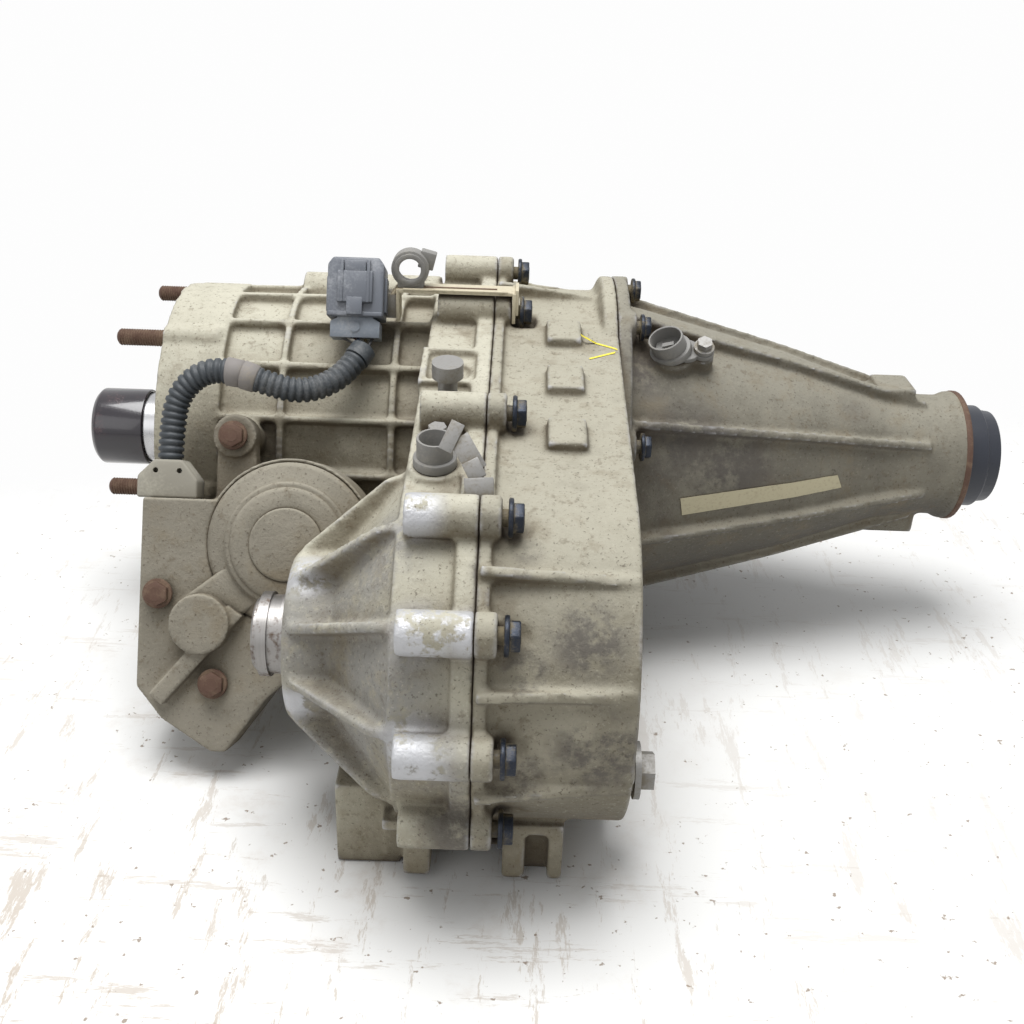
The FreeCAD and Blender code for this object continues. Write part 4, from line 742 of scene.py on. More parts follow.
def finish_piece(parts: list[Piece], name: str, finish: Finish | None,
                 nodes: tuple[str, ...] = (), body: str = "housing") -> Piece:
    """Join parts into one piece that rides on a body, in place of its CAD nodes.

    Args:
        parts: The modelled parts.
        name: The piece's name.
        finish: Its material, or None where the parts have their own.
        nodes: The CAD nodes that it stands for.
        body: The body that carries it.

    Returns:
        The finished piece.
    """
    piece = weld(parts, name)
    if finish:
        dress(piece, finish)
    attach(piece, body)
    if nodes:
        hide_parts(*nodes)
    LOG.info("%s: %d faces on %s", name, len(piece.data.polygons), body)
    return piece


# ------------------------------------------------------------------ sub-assemblies


@dataclass
class Casting:
    """A cast housing: the CAD solid with cast fillets and a grained skin."""

    node: str
    slot: str
    finish: CastAluminium
    voxel: float = 1.6 * MM
    rounds: int = 3
    most_faces: int = 185000
    cuts: tuple[tuple[Spot, Spot], ...] = ()
    fills: tuple[tuple[Spot, float, float], ...] = ()

    def build(self) -> Piece:
        """Round every edge of the solid and dress it.

        Returns:
            The casting.
        """
        piece = cad_copy(self.node)
        for low, high in self.cuts:
            low, high = Vector(low), Vector(high)
            cut(piece, plate(tuple(high - low), (low + high) / 2 * MM))
        for base, radius, length in self.fills:
            piece = weld([piece, round_post(radius, length, Vector(base) * MM, AHEAD, 120)], piece.name)
        modify(piece, "REMESH", {"mode": "VOXEL", "voxel_size": self.voxel, "adaptivity": 0.0})
        modify(piece, "SMOOTH", {"factor": 0.5, "iterations": self.rounds})
        triangles = 2 * len(piece.data.polygons)
        if triangles > self.most_faces:
            modify(piece, "DECIMATE", {"ratio": self.most_faces / triangles})
        focus(piece)
        bpy.ops.object.shade_smooth()
        return finish_piece([piece], self.node + "_cast", self.finish.make(), (self.node,))


@dataclass
class BoltSet:
    """A set of flange bolts, each made new on the place of its CAD solid."""

    node: str
    way: Vector
    head_flats: float
    head_height: float
    flange_radius: float
    finish: Finish
    shank_radius: float = 4.0
    flange_height: float = 2.4
    head_lift: float = 1.4
    mark_share: float = 0.30
    mark_height: float = 0.5
    mark_sink: float = 0.3

    def one(self, points: list[Vector]) -> list[Piece]:
        """Model one bolt.

        Args:
            points: Corner points of its CAD solid.

        Returns:
            Its head, flange, centre mark and shank.
        """
        low, top, middle = extent(points, self.way)
        seat = top - self.head_height * MM
        head = round_post(self.head_flats / math.sqrt(3), self.head_height - self.head_lift,
                          middle + self.way * (seat + self.head_lift * MM), self.way, 6)
        soften(head, 0.7, 25)
        dish = round_post(self.flange_radius, self.flange_height, middle + self.way * seat, self.way, 40)
        soften(dish, 0.8, 25)
        mark = round_post(self.head_flats * self.mark_share, self.mark_height,
                          middle + self.way * (top - self.mark_sink * MM), self.way, 24)
        stem = round_post(self.shank_radius, (seat - low) / MM, middle + self.way * low, self.way, 20)
        return [head, dish, mark, stem]

    def build(self) -> None:
        """Model every bolt of the set."""
        parts = [part for points in islands(self.node) for part in self.one(points)]
        finish_piece(parts, self.node + "_set", self.finish, (self.node,))


@dataclass
class StudSet:
    """Adapter studs with rolled threads and rounded noses."""

    node: str
    finish: Finish
    radius: float = 5.0 * MM
    pitch: float = 1.5 * MM
    depth: float = 0.55 * MM
    thread: float = 26 * MM
    nose: float = 0.55
    sides: int = 20

    def build(self) -> None:
        """Turn one threaded stud for each solid of the node."""
        parts = [self.turn(*extent(points, AHEAD)) for points in islands(self.node)]
        finish_piece(parts, self.node + "_threaded", self.finish, (self.node,))

    def turn(self, low: float, top: float, centre: Vector) -> Piece:
        """Extrude and scale a circle along the stud, ring by ring.

        Args:
            low: X of the nose.
            top: X of the buried end.
            centre: Y and Z of the axis.

        Returns:
            The stud.
        """
        drop_selection()
        bpy.ops.mesh.primitive_circle_add(vertices=self.sides, radius=self.radius * self.nose,
                                          fill_type="NGON", location=(low, centre.y, centre.z),
                                          rotation=(0, math.pi / 2, 0))
        piece = bpy.context.object
        settle(piece)
        open_mesh(piece)
        steps = [(1.0 * MM, 0.85), (1.2 * MM, 1.0)]
        for _ in range(int(self.thread / self.pitch)):
            steps += [(self.pitch / 2, 1 - self.depth / self.radius), (self.pitch / 2, 1.0)]
        steps.append((top - low - sum(step for step, _ in steps), 1.0))
        size = self.nose
        for step, share in steps:
            bpy.ops.mesh.extrude_region_move(TRANSFORM_OT_translate={"value": (step, 0, 0)})
            bpy.ops.transform.resize(value=(1.0, share / size, share / size))
            size = share
        close_skin(50)
        return piece


@dataclass
class RoundedPart:
    """A CAD solid whose sharp edges are broken, with its own finish."""

    node: str
    slot: str
    finish: Finish
    edge: float = 0.6
    steps: int = 2
    body: str = "housing"

    def build(self) -> Piece:
        """Merge the flat faces, bevel the edges and dress the solid.

        Returns:
            The piece.
        """
        piece = cad_copy(self.node)
        open_mesh(piece)
        bpy.ops.mesh.dissolve_limited(angle_limit=math.radians(1.5))
        bpy.ops.object.mode_set(mode="OBJECT")
        soften(piece, self.edge, 28, self.steps, 35)
        return finish_piece([piece], self.node + "_part", self.finish, (self.node,), self.body)


MOTOR_TILT = math.radians(27)


def motor_spot(along: float, up: float, out: float) -> Vector:
    """Point from its place along the case, up the motor's face and out of it, in millimetres."""
    rise, fall = math.sin(MOTOR_TILT), math.cos(MOTOR_TILT)
    return Vector((along, up * rise - out * fall, up * fall + out * rise)) * MM


MOTOR_WAY = motor_spot(0, 0, 1).normalized()
MOTOR_UP = motor_spot(0, 1, 0).normalized()
MOTOR_TURN = Matrix((AHEAD, MOTOR_UP, MOTOR_WAY)).transposed()


def smooth_line(spots: list[Vector], name: str) -> list[Vector]:
    """Points of the smooth spline that a route's points control.

    Args:
        spots: The route's control points.
        name: A name for the spline.

    Returns:
        Points along the spline, in order.
    """
    curve = bpy.data.curves.new(name, "CURVE")
    curve.dimensions = "3D"
    spline = curve.splines.new("NURBS")
    spline.points.add(len(spots) - 1)
    for point, spot in zip(spline.points, spots):
        point.co = (*spot, 1.0)
    spline.order_u = 3
    spline.use_endpoint_u = True
    spline.resolution_u = 16
    holder = bpy.data.objects.new(name, curve)
    bpy.context.scene.collection.objects.link(holder)
    mesh = bpy.data.meshes.new_from_object(holder)
    points = [vert.co.copy() for vert in mesh.vertices]
    bpy.data.objects.remove(holder)
    bpy.data.curves.remove(curve)
    bpy.data.meshes.remove(mesh)
    return points


@dataclass
class Rail:
    """A line in space, read by distance."""

    points: list[Vector]

    def __post_init__(self) -> None:
        """Add up the distance of each point."""
        self.reach = [0.0]
        for a, b in zip(self.points, self.points[1:]):
            self.reach.append(self.reach[-1] + (b - a).length)

    @property
    def length(self) -> float:
        """Whole length."""
        return self.reach[-1]

    def at(self, distance: float) -> Vector:
        """The point at a distance from the start.

        Args:
            distance: The distance, held within the line.

        Returns:
            The point.
        """
        distance = min(max(distance, 0.0), self.length)
        for index in range(len(self.points) - 1):
            if distance <= self.reach[index + 1]:
                span = self.reach[index + 1] - self.reach[index]
                share = (distance - self.reach[index]) / span if span else 0.0
                return self.points[index].lerp(self.points[index + 1], share)
        return self.points[-1].copy()

    def way(self, distance: float) -> Vector:
        """The direction at a distance from the start."""
        step = 2 * MM
        return (self.at(distance + step) - self.at(distance - step)).normalized()


def ringed_tube(rail: Rail, stations: list[tuple[float, float]], sides: int) -> Piece:
    """Extrude a circle along a rail, with a radius at each station.

    Args:
        rail: The line that the tube follows.
        stations: Distance and radius of each ring.
        sides: Corners of a ring.

    Returns:
        A closed tube.
    """
    drop_selection()
    bpy.ops.mesh.primitive_circle_add(vertices=sides, radius=1.0, fill_type="NGON")
    piece = bpy.context.object
    open_mesh(piece)
    before = rail.way(stations[0][0])
    turn = axes_to(before)
    last = Matrix.Identity(4)
    for index, (distance, radius) in enumerate(stations):
        way = rail.way(distance)
        turn = before.rotation_difference(way).to_matrix() @ turn
        before = way
        here = Matrix.Translation(rail.at(distance)) @ turn.to_4x4() @ Matrix.Scale(radius, 4)
        if index:
            bpy.ops.mesh.extrude_region_move()
        mesh = bmesh.from_edit_mesh(piece.data)
        chosen = [vert for vert in mesh.verts if vert.select]
        bmesh.ops.transform(mesh, matrix=here @ last.inverted(), verts=chosen)
        bmesh.update_edit_mesh(piece.data)
        last = here
    close_skin(60)
    return piece


@dataclass
class WiringLead:
    """Corrugated conduit, its tape, its end boot, the wires and the connector pair."""

    route: tuple[Spot, ...] = (
        (18, -25, 118), (18, -7, 118), (21.5, 12, 119), (35, 24.5, 121), (52, 25, 121),
        (71, 18.5, 120), (88, 15, 116), (103.5, 21, 110), (114, 32, 104), (120, 43, 98),
    )
    radius: float = 7.0 * MM
    groove: float = 1.1 * MM
    pitch: float = 3.7 * MM
    sleeve: float = 9.0 * MM
    tape_start: float = 0.43
    tape_end: float = 0.54
    tape_turns: int = 2
    wire_tones: tuple[Colour, ...] = (
        (0.030, 0.030, 0.032), (0.16, 0.15, 0.13), (0.10, 0.035, 0.025), (0.05, 0.06, 0.09),
        (0.13, 0.10, 0.05), (0.030, 0.030, 0.032),
    )
    ribs: tuple[tuple[Spot, Spot], ...] = (
        ((2.0, 24, 3.0), (106.5, 80, 103.0)), ((2.0, 24, 3.0), (121.5, 80, 103.0)),
        ((1.8, 20, 9), (97.6, 74, 90)), ((1.8, 20, 9), (130.4, 74, 90)),
        ((31, 2.4, 22), (114, 62, 90.6)), ((12, 7, 3), (114, 88, 102.4)), ((9, 10, 2.5), (114, 66, 103.2)),
    )

    def build(self) -> None:
        """Build every piece of the lead."""
        rail = Rail(smooth_line([motor_spot(*spot) for spot in self.route], "lead_route"))
        self.conduit(rail)
        self.tape(rail)
        self.wires(rail)
        self.connector()
        self.boot()

    def conduit(self, rail: Rail) -> None:
        """Corrugations from ring to ring, with a plain sleeve at the far end.

        Args:
            rail: The line of the lead.
        """
        low = self.radius - self.groove
        last = rail.length - self.sleeve
        count = int(last / self.pitch)
        step = last / count
        stations = []
        for start in [index * step for index in range(count)]:
            stations += [(start, low), (start + step * 0.18, low), (start + step * 0.38, self.radius),
                         (start + step * 0.80, self.radius)]
        stations += [(last, low), (last + 0.3 * MM, self.radius + 0.5 * MM),
                     (rail.length - 1 * MM, self.radius + 0.4 * MM), (rail.length, self.radius - 0.8 * MM)]
        skin = Moulded("conduit_plastic", (0.030, 0.036, 0.042), (0.20, 0.20, 0.195), 0.45, 0.55).make()
        finish_piece([ringed_tube(rail, stations, 28)], "conduit_corrugated", skin,
                     ("harness_conduit",))

    def tape(self, rail: Rail) -> None:
        """Overlapped turns of cloth tape round the conduit.

        Args:
            rail: The line of the lead.
        """
        start, end = rail.length * self.tape_start, rail.length * self.tape_end
        step = (end - start) / self.tape_turns
        outer = self.radius + 0.7 * MM
        stations = [(start - 0.2 * MM, self.radius - 0.4 * MM)]
        for index in range(self.tape_turns):
            for share, lift in ((0.0, -0.5), (0.06, 0.25), (0.94, 0.0)):
                stations.append((start + step * (index + share), outer + lift * MM))
        stations += [(end + 0.2 * MM, self.radius - 0.4 * MM)]
        skin = Moulded("cloth_tape", (0.20, 0.185, 0.175), (0.30, 0.26, 0.19), 0.50, 0.75).make()
        finish_piece([ringed_tube(rail, stations, 28)], "tape_wrap", skin, ("conduit_tape",))

    def wires(self, rail: Rail) -> None:
        """Thin wires from the conduit's mouth to the plug.

        Args:
            rail: The line of the lead.
        """
        mouth = rail.at(rail.length - 2 * MM)
        parts = []
        for index, tone in enumerate(self.wire_tones):
            turn = 2 * math.pi * index / len(self.wire_tones)
            start = mouth + (AHEAD * math.cos(turn) + MOTOR_WAY * math.sin(turn)) * 3.2 * MM
            end = motor_spot(103.5 + 4.2 * index, 51.0, 91 + 1.5 * (index % 2))
            middle = start.lerp(end, 0.5) + MOTOR_WAY * (1.2 * MM) * (1 if index % 2 else -1)
            spots = [start, start + rail.way(rail.length) * 2 * MM, middle, end]
            line = Rail(smooth_line(spots, "wire_route"))
            parts.append(ringed_tube(line, [(line.length * part / 10, 1.0 * MM) for part in range(11)], 10))
            dress(parts[-1], Moulded("wire_skin_%d" % index, tone, (0.20, 0.17, 0.12), 0.35).make())
        finish_piece(parts, "wire_bundle", None, ("harness_wires",))

    def connector(self) -> None:
        """Female shell with ribs and latch over the plug with its key."""
        shell = Moulded("connector_plastic", (0.105, 0.115, 0.135), (0.36, 0.37, 0.39), 0.45, 0.42).make()
        pale = Moulded("plug_plastic", (0.20, 0.225, 0.26), (0.45, 0.46, 0.47), 0.45, 0.45).make()
        RoundedPart("connector_plug", "black_plastic", pale, 0.8).build()
        RoundedPart("connector_body", "black_plastic", shell, 1.0).build()
        RoundedPart("connector_clip", "black_plastic", shell, 0.7).build()
        trim = weld([plate(sizes, motor_spot(*spot), MOTOR_TURN) for sizes, spot in self.ribs], "ribs")
        soften(trim, 0.45)
        finish_piece([trim], "connector_trim", shell)

    def boot(self) -> None:
        """Moulded boot where the lead leaves the motor, with two vent holes."""
        skin = Moulded("boot_rubber", (0.25, 0.235, 0.195), (0.42, 0.40, 0.33), 0.5, 0.8).make()
        piece = RoundedPart("harness_boot", "black_rubber", skin, 2.4, 3).build()
        for along in (12, 25):
            cut(piece, round_post(1.5, 8, motor_spot(along, -31, 121), MOTOR_WAY, 16))


@dataclass
class SpeedSensor:
    """Plug-in sensor: a short open socket on a flange ear."""

    node: str
    seat: Spot
    turn: float
    shell: Finish
    screw: Spot
    radius: float = 8.6
    rise: float = 15
    stretch: float = 1.0
    lean: Spot = (0.0, 0.0, 0.0)
    ear: tuple[tuple[float, float], ...] = ((0.0, 10), (0.45, 8), (1.0, 6.4))

    def build(self) -> None:
        """Build the socket, its collar, the contact block and the ear."""
        angle = math.radians(self.turn)
        way = Vector((0.0, -math.cos(angle), math.sin(angle)))
        tip = (way + Vector(self.lean)).normalized()
        seat, screw = Vector(self.seat) * MM, Vector(self.screw) * MM
        socket = tube(self.radius, self.radius - 1.3, self.rise, seat, tip, self.stretch, self.rise - 3)
        soften(socket, 0.5, 35)
        collar = round_post(self.radius + 1.8, 5, seat, tip, 40, self.stretch)
        soften(collar, 0.8)
        parts = [socket, collar, plate((7, 2.4, 6), seat + tip * (6 * MM), axes_to(tip))]
        for share, width in self.ear:
            parts.append(round_post(width, 3.6, seat.lerp(screw, share), way))
            soften(parts[-1], 0.6)
        finish_piece(parts, self.node + "_socket", self.shell, (self.node,))


@dataclass
class SheetClip:
    """Bent sheet clip that stands on the third case boss."""

    finish: Finish
    strips: Strips = (
        ((6.5, 14, 1.3), (179, -14.6, 247), -24.0), ((17, 9.5, 1.3), (186.5, -22, 246), -58.0),
        ((9, 8, 4.0), (189.5, -29, 247), -62.0), ((13, 9, 1.3), (192, -37, 250), 4.0),
        ((1.4, 13, 7.0), (198.0, -39, 247), 3.0),
    )

    def build(self) -> None:
        """Fold the clip from flat strips."""
        parts = []
        for sizes, spot, turn in self.strips:
            spin = Matrix.Rotation(math.radians(turn), 3, "Z")
            parts.append(plate(sizes, motor_spot(*spot), MOTOR_TURN @ spin))
            soften(parts[-1], 0.35)
        finish_piece(parts, "sheet_clip", self.finish)


@dataclass
class HoseRing:
    """Closed moulded ring with a square tab, on the bracket's end."""

    finish: Finish
    middle: Spot = (144.0, -39.7, 122.5)
    tab_turn: float = 14.0

    def build(self) -> None:
        """Build the ring, its inner lip, the tab and the foot."""
        spot, front = Vector(self.middle) * MM, Vector((0.0, -1.0, 0.0))
        parts = [
            tube(10.8, 7.6, 9, spot - front * (4.2 * MM), front),
            tube(9.2, 6.2, 2.2, spot + front * (3.4 * MM), front),
            plate((9, 7, 10), spot + Vector((9.5, 2.0, 4.5)) * MM,
                  Matrix.Rotation(math.radians(self.tab_turn), 3, "Y")),
            plate((15, 8.6, 3.4), spot + Vector((0.2, 0.0, -9.5)) * MM),
        ]
        for part in parts:
            soften(part, 0.7, 35)
        finish_piece(parts, "hose_ring", self.finish, ("hose_clip",))


@dataclass
class MotorTrim:
    """Raised steps on the gear motor's cover and the lobe beside it."""

    finish: Finish
    centre: tuple[float, float] = (88.5, -68.6)
    steps: tuple[tuple[float, float, float], ...] = ((33.5, 141.5, 4.0), (19.5, 146.5, 3.0))
    lobe_turn: float = 38.0

    def build(self) -> None:
        """Build the plateau, the dome and the lobe."""
        parts = []
        for radius, base, height in self.steps:
            parts.append(round_post(radius, height, motor_spot(*self.centre, base), MOTOR_WAY, 72))
            soften(parts[-1], height * 0.45, 30, 4)
        spin = Matrix.Rotation(math.radians(self.lobe_turn), 3, "Z")
        parts.append(plate((42, 26, 5), motor_spot(58, -96, 139.5), MOTOR_TURN @ spin))
        soften(parts[-1], 2.2, 30, 4)
        finish_piece(parts, "motor_steps", self.finish)


@dataclass
class SurfacePatch:
    """A thin patch laid on a casting: a bare plate or one stroke of paint."""

    name: str
    corners: tuple[Spot, Spot, Spot, Spot]
    finish: Finish
    rise: float = 0.5 * MM
    cells: int = 24

    def build(self, base: Piece) -> None:
        """Shape a flat grid to the casting.

        Args:
            base: The casting that the patch lies on.
        """
        drop_selection()
        bpy.ops.mesh.primitive_grid_add(x_subdivisions=self.cells, y_subdivisions=6, size=1.0)
        piece = bpy.context.object
        a, b, c, d = (motor_spot(*corner) for corner in self.corners)
        for vert in piece.data.vertices:
            along, across = vert.co.x + 0.5, vert.co.y + 0.5
            vert.co = a.lerp(b, along).lerp(d.lerp(c, along), across)
        modify(piece, "SHRINKWRAP", {"target": base, "wrap_method": "NEAREST_SURFACEPOINT",
                                     "offset": self.rise})
        modify(piece, "SOLIDIFY", {"thickness": self.rise * 0.7, "offset": 0.0})
        focus(piece)
        bpy.ops.object.shade_smooth_by_angle(angle=math.radians(40))
        finish_piece([piece], self.name, self.finish)


@dataclass
class TailTrim:
    """Rusty lip round the mouth of the tail."""

    finish: Finish
    start: Spot = (485.8, 0.0, 0.0)

    def build(self) -> None:
        """Build the lip."""
        lip = tube(41.5, 34.5, 4, Vector(self.start) * MM, AHEAD)
        soften(lip, 1.0, 30, 3)
        finish_piece([lip], "tail_lip", self.finish)


@dataclass
class BracketTrim:
    """Diagonal leg, end tab and folded edge of the wiring bracket, and a thin dark plate that paints the
    shade of its pressed slot.
    """

    finish: Finish
    dark: Finish
    strips: Strips = (
        ((22, 12, 1.8), (129.5, -39.7, 102.5), -50.0), ((2.0, 17, 15), (205.6, -39.7, 106.0), 0.0),
        ((60, 2.0, 1.2), (170.0, -46.4, 111.6), 0.0),
    )

    def build(self) -> None:
        """Build the strips and the dark plate of painted slot shade."""
        parts = []
        for sizes, spot, turn in self.strips:
            parts.append(plate(sizes, Vector(spot) * MM, Matrix.Rotation(math.radians(turn), 3, "Y")))
            soften(parts[-1], 0.4)
        finish_piece(parts, "bracket_leg", self.finish)
        # A thin dark plate on the bracket paints the shade inside its pressed slot.
        slot = plate((44, 1.6, 0.5), Vector((172.0, -41.0, 111.7)) * MM)
        finish_piece([slot], "bracket_slot_shade", self.dark)


@dataclass
class Studio:
    """Floor, lamps, world and camera."""

    floor_height: float
    eye: Spot = (0.207, -0.7164, 0.3121)
    dip: float = 27.0
    roll: float = 2.0
    lens: float = 42.19
    world_strength: float = 0.42

    def build(self) -> None:
        """Make the whole studio."""
        self.floor()
        self.world()
        self.lamp("overhead", (0.1, -0.15, 1.9), (0.22, -0.05, 0.0), 1.3, 52.0)
        self.lamp("front_fill", (-0.7, -1.6, 1.0), (0.2, 0.0, 0.0), 1.2, 5.0)
        self.camera()

    def floor(self) -> None:
        """A wide pale bench top."""
        drop_selection()
        bpy.ops.mesh.primitive_plane_add(size=12.0, location=(0.2, 0.0, self.floor_height))
        piece = weld([bpy.context.object], "bench_top")
        settle(piece)
        dress(piece, PaleFloor().make())

    def world(self) -> None:
        """Even white surroundings, full white to the eye and to polished metal."""
        world = bpy.data.worlds.new("white_room")
        tree = NodeTree(world)
        light, plain = (
            tree.pick("ShaderNodeBackground", 0, None, {"Color": colour, "Strength": strength})
            for colour, strength in (((0.97, 0.985, 1.0, 1.0), self.world_strength),
                                     ((0.985, 0.985, 0.985, 1.0), 1.0)))
        seen: Value = 0.0
        for name in ("Is Camera Ray", "Is Glossy Ray", "Is Transmission Ray"):
            seen = tree.math(Operation.MAXIMUM, seen, tree.pick("ShaderNodeLightPath", name))
        both = tree.pick("ShaderNodeMixShader", 0, None, {0: seen, 1: light, 2: plain})
        tree.node("ShaderNodeOutputWorld", None, {"Surface": both})
        bpy.context.scene.world = world

    def lamp(self, name: str, spot: Spot, aim: Spot, size: float, power: float) -> None:
        """Add one soft area lamp.

        Args:
            name: The lamp's name.
            spot: Where it stands.
            aim: Where it points.
            size: Its width.
            power: Its power in watts.
        """
        data = bpy.data.lights.new(name, "AREA")
        data.shape = "SQUARE"
        data.size = size
        data.energy = power
        lamp = bpy.data.objects.new(name, data)
        lamp.location = spot
        lamp.rotation_euler = (Vector(aim) - Vector(spot)).to_track_quat("-Z", "Y").to_euler()
        bpy.context.scene.collection.objects.link(lamp)

    def camera(self) -> None:
        """Put the camera in front of the output side, looking down on the case."""
        tilt = Matrix.Rotation(math.radians(90 - self.dip), 4, "X")
        spin = Matrix.Rotation(math.radians(self.roll), 4, "Z")
        data = bpy.data.cameras.new("bench_camera")
        data.lens = self.lens
        data.sensor_width = 36.0
        camera = bpy.data.objects.new("bench_camera", data)
        camera.matrix_world = Matrix.Translation(self.eye) @ tilt @ spin
        bpy.context.scene.collection.objects.link(camera)
        bpy.context.scene.camera = camera


@dataclass
class Finishes:
    """Shared finishes."""

    steel: Finish
    worn_steel: Finish
    bolt: Finish
    rusty: Finish
    bronze: Finish
    rubber: Finish
    sheet: Finish
    cream: Finish
    ash: Finish
    friction: Finish

    @classmethod
    def make(cls) -> "Finishes":
        """Build every shared material.

        Returns:
            The finishes, by name.
        """
        recipes = dict(
            steel=Steel("ground_steel"),
            worn_steel=Steel("worn_steel", (0.30, 0.29, 0.28), (0.10, 0.06, 0.035), 0.62, 0.42),
            bolt=DustyPaint("bolt_zinc", (0.012, 0.017, 0.028), (0.17, 0.14, 0.085), 0.42, 0.38, 0.6, 120.0),
            rusty=DustyPaint("rusted_steel", (0.085, 0.045, 0.03), (0.17, 0.115, 0.075), 0.6, 0.7, 0.3, 130),
            bronze=Steel("sintered_bronze", (0.48, 0.33, 0.16), (0.12, 0.07, 0.03), 0.25, 0.4),
            rubber=Moulded("seal_rubber", (0.020, 0.022, 0.026), (0.15, 0.14, 0.12), 0.25),
            sheet=DustyPaint("plated_sheet", (0.25, 0.245, 0.235), (0.20, 0.175, 0.13), 0.55, 0.5, 0.6, 90.0),
            cream=DustyPaint("cream_bracket", (0.50, 0.45, 0.33), (0.24, 0.19, 0.12), 0.40, 0.55, 0.2),
            ash=Moulded("ash_plastic", (0.19, 0.185, 0.175), (0.34, 0.32, 0.27), 0.5, 0.55),
            friction=Moulded("friction_lining", (0.09, 0.065, 0.040), (0.05, 0.04, 0.03), 0.3, 0.8),
        )
        return cls(**{name: recipe.make() for name, recipe in recipes.items()})


# ------------------------------------------------------------------ the whole part


def patches_at(*places: tuple[float, float, float, float]) -> Patches:
    """Points seen from the motor's side, each with its reach, in millimetres."""
    return tuple((tuple(motor_spot(*place[:3])), place[3] * MM) for place in places)


def build_castings() -> tuple[Piece, Piece]:
    """Cast the three housings.

    Returns:
        The rear case and the tail.
    """
    worn = patches_at((168, -98, 284, 26), (192, -98, 282, 18), (165, -156, 270, 27), (163, -48, 260, 20),
                      (112, -81, 212, 18), (108, -140, 215, 14), (150, 22, 200, 22), (178, 30, 185, 16))
    clean = patches_at((125, -105, 225, 48), (150, -120, 255, 44), (130, -150, 225, 44), (170, -156, 262, 38),
                       (150, -70, 240, 34))
    dark = patches_at((196, -117, 268, 12), (190, -190, 240, 26), (192, -205, 215, 22), (196, -75, 262, 10))
    skin = CastAluminium("case_casting", rubbed=worn, cleaned=clean, stained=dark)
    bays = (((149, -282, -125), (160, -264, -86)), ((173, -282, -125), (196, -254, -84)))
    Casting("front_case", "cast_case", skin, cuts=bays).build()
    dark = patches_at((242, -101, 266, 24), (249, -149, 255, 30), (215, -117, 266, 16), (214, -60, 262, 14),
                      (214, -165, 258, 18), (204, -205, 225, 22))
    skin = CastAluminium("rear_casting", (0.165, 0.149, 0.108), (0.262, 0.243, 0.186), (0.400, 0.380, 0.305),
                         (0.060, 0.053, 0.042), stained=dark)
    bays = (((190, -282, -125), (208, -254, -84)), ((219, -282, -125), (230, -266, -86)),
            ((237, -290, -125), (275, -140, -60)))
    drum = ((236, -215.35, -15.44), 84, 29)
    rear = Casting("rear_case", "cast_case_rear", skin, cuts=bays, fills=(drum,)).build()
    dark = patches_at((284, 42, 85, 30), (312, -3, 100, 46), (297, -60, 95, 40), (340, -20, 80, 40),
                      (420, 30, 60, 26), (285, 75, 60, 22))
    skin = CastAluminium("tail_casting", (0.120, 0.110, 0.086), (0.172, 0.159, 0.124), (0.270, 0.255, 0.205),
                         (0.040, 0.036, 0.033), stained=dark)
    return rear, Casting("extension_housing", "cast_tail", skin).build()


def build_motor() -> None:
    """Build the shift motor's body and stepped cover."""
    skin = CastAluminium("motor_casting", (0.172, 0.156, 0.122), (0.215, 0.196, 0.156), (0.300, 0.278, 0.222),
                         (0.085, 0.075, 0.058), (0.045, 0.036, 0.026), (0.36, 0.34, 0.28), wear=0.45)
    Casting("motor_housing", "motor_paint", skin, 1.1 * MM).build()
    paint = skin.make()
    RoundedPart("motor_cover", "motor_paint", paint, 1.2, 3).build()
    MotorTrim(paint).build()


def build_surface_details(rear: Piece, tail: Piece, f: Finishes) -> None:
    """Lay the bare plate, the tail's lip and the pen strokes.

    Args:
        rear: The rear case.
        tail: The tail.
        f: The shared finishes.
    """
    tan = DustyPaint("plate_tan", (0.40, 0.36, 0.24), (0.20, 0.17, 0.11), 0.35, 0.5, 0.2).make()
    corners = ((310, -50, 74), (411, -30, 56), (406, -20, 58), (307, -38, 78))
    SurfacePatch("bare_plate", corners, tan).build(tail)
    TailTrim(f.rusty).build()
    yellow = DustyPaint("paint_pen", (0.72, 0.62, 0.06), (0.40, 0.34, 0.12), 0.25, 0.6, 0.0, 150.0).make()
    strokes = (((247, 46, 120), (262, 50, 112), (262, 51.6, 111), (247, 47.6, 119)),
               ((250, 58, 104), (264, 53, 110), (264, 54.6, 109), (250, 59.6, 103)))
    for index, corners in enumerate(strokes):
        SurfacePatch("pen_stroke_%d" % index, corners, yellow, 0.25 * MM).build(rear)


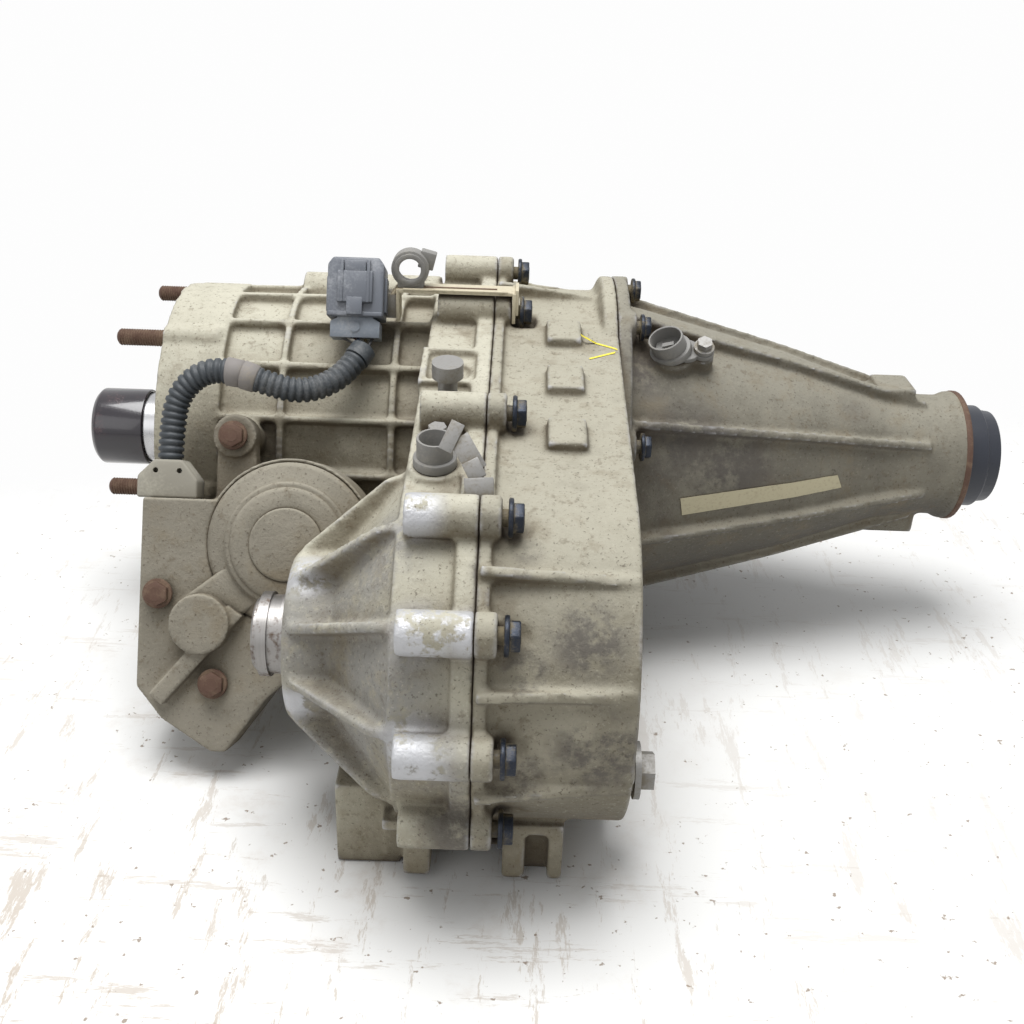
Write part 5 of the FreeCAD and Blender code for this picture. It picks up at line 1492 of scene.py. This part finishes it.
def build_fittings(f: Finishes) -> None:
    """Build the bolts, studs, bracket, clips, lead, sensors and end covers.

    Args:
        f: The shared finishes.
    """
    BoltSet("case_bolts", AHEAD, 13, 7, 9, f.bolt).build()
    BoltSet("extension_bolts", AHEAD, 12, 6, 8, f.bolt).build()
    BoltSet("motor_bolts", MOTOR_WAY, 12, 6, 8, f.rusty).build()
    BracketTrim(f.cream, f.rusty).build()
    SheetClip(f.sheet).build()
    HoseRing(f.ash).build()
    StudSet("adapter_studs", f.rusty).build()
    WiringLead().build()
    RoundedPart("harness_bracket", "sheet_steel", f.cream, 0.5).build()
    RoundedPart("bracket_clip", "sheet_steel", f.sheet, 0.5).build()
    SpeedSensor("front_speed_sensor", (170, -203.9, 74.5), 82.45, f.ash, (170, -186.1, 76.9)).build()
    SpeedSensor("rear_speed_sensor", (298, -42.3, 77.6), 61.3, f.ash, (316, -42.3, 77.6), stretch=1.2,
                lean=(-0.45, -0.1, 0.0)).build()
    # The cap's patchy dull red film paints a purple sheen onto the black plastic.
    gloss = Moulded("cap_plastic_painted_sheen", (0.012, 0.009, 0.014), (0.13, 0.055, 0.055), 0.38, 0.20, 0.4).make()
    RoundedPart("input_cap", "cap_plastic", gloss, 1.0, 3, "input_cover").build()
    navy = Moulded("boot_navy", (0.012, 0.015, 0.024), (0.10, 0.085, 0.07), 0.22, 0.42).make()
    RoundedPart("rear_dust_boot", "black_rubber", navy, 0.8, 3).build()


def dress_nodes(f: Finishes) -> None:
    """Give the CAD nodes that keep their own shape a finish.

    Args:
        f: The shared finishes.
    """
    groups = (
        (f.steel, ("input_bearing", "input_shaft", "ring_gear", "planet_gear_1", "planet_gear_2",
                   "planet_gear_3", "planet_carrier", "planet_pins", "shift_rail", "shift_sector",
                   "main_shaft", "clutch_drum", "drive_sprocket", "rear_bearing", "speed_ring",
                   "front_output_bearing", "front_output_rear_bearing", "driven_sprocket", "chain",
                   "range_fork")),
        (f.worn_steel, ("front_output_shaft", "output_slinger")),
        (f.sheet, ("sensor_bolts", "drain_plug", "fill_plug", "breather", "oil_pump", "oil_pickup_tube",
                   "oil_strainer", "magnet")),
        (f.rubber, ("input_seal", "rear_seal", "front_output_seal")),
        (f.bronze, ("range_collar", "tail_bushing")),
        (f.friction, ("clutch_plates",)),
    )
    for finish, names in groups:
        for name in names:
            dress(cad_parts[name], finish)


def main() -> None:
    logging.basicConfig(level=logging.INFO, format="%(name)s %(message)s")
    bpy.context.scene.view_settings.view_transform = "Standard"
    Studio(floor_height=CAD_BOX[0][2]).build()
    f = Finishes.make()
    rear, tail = build_castings()
    build_motor()
    build_surface_details(rear, tail, f)
    build_fittings(f)
    dress_nodes(f)


if __name__ == "__main__":
    main()
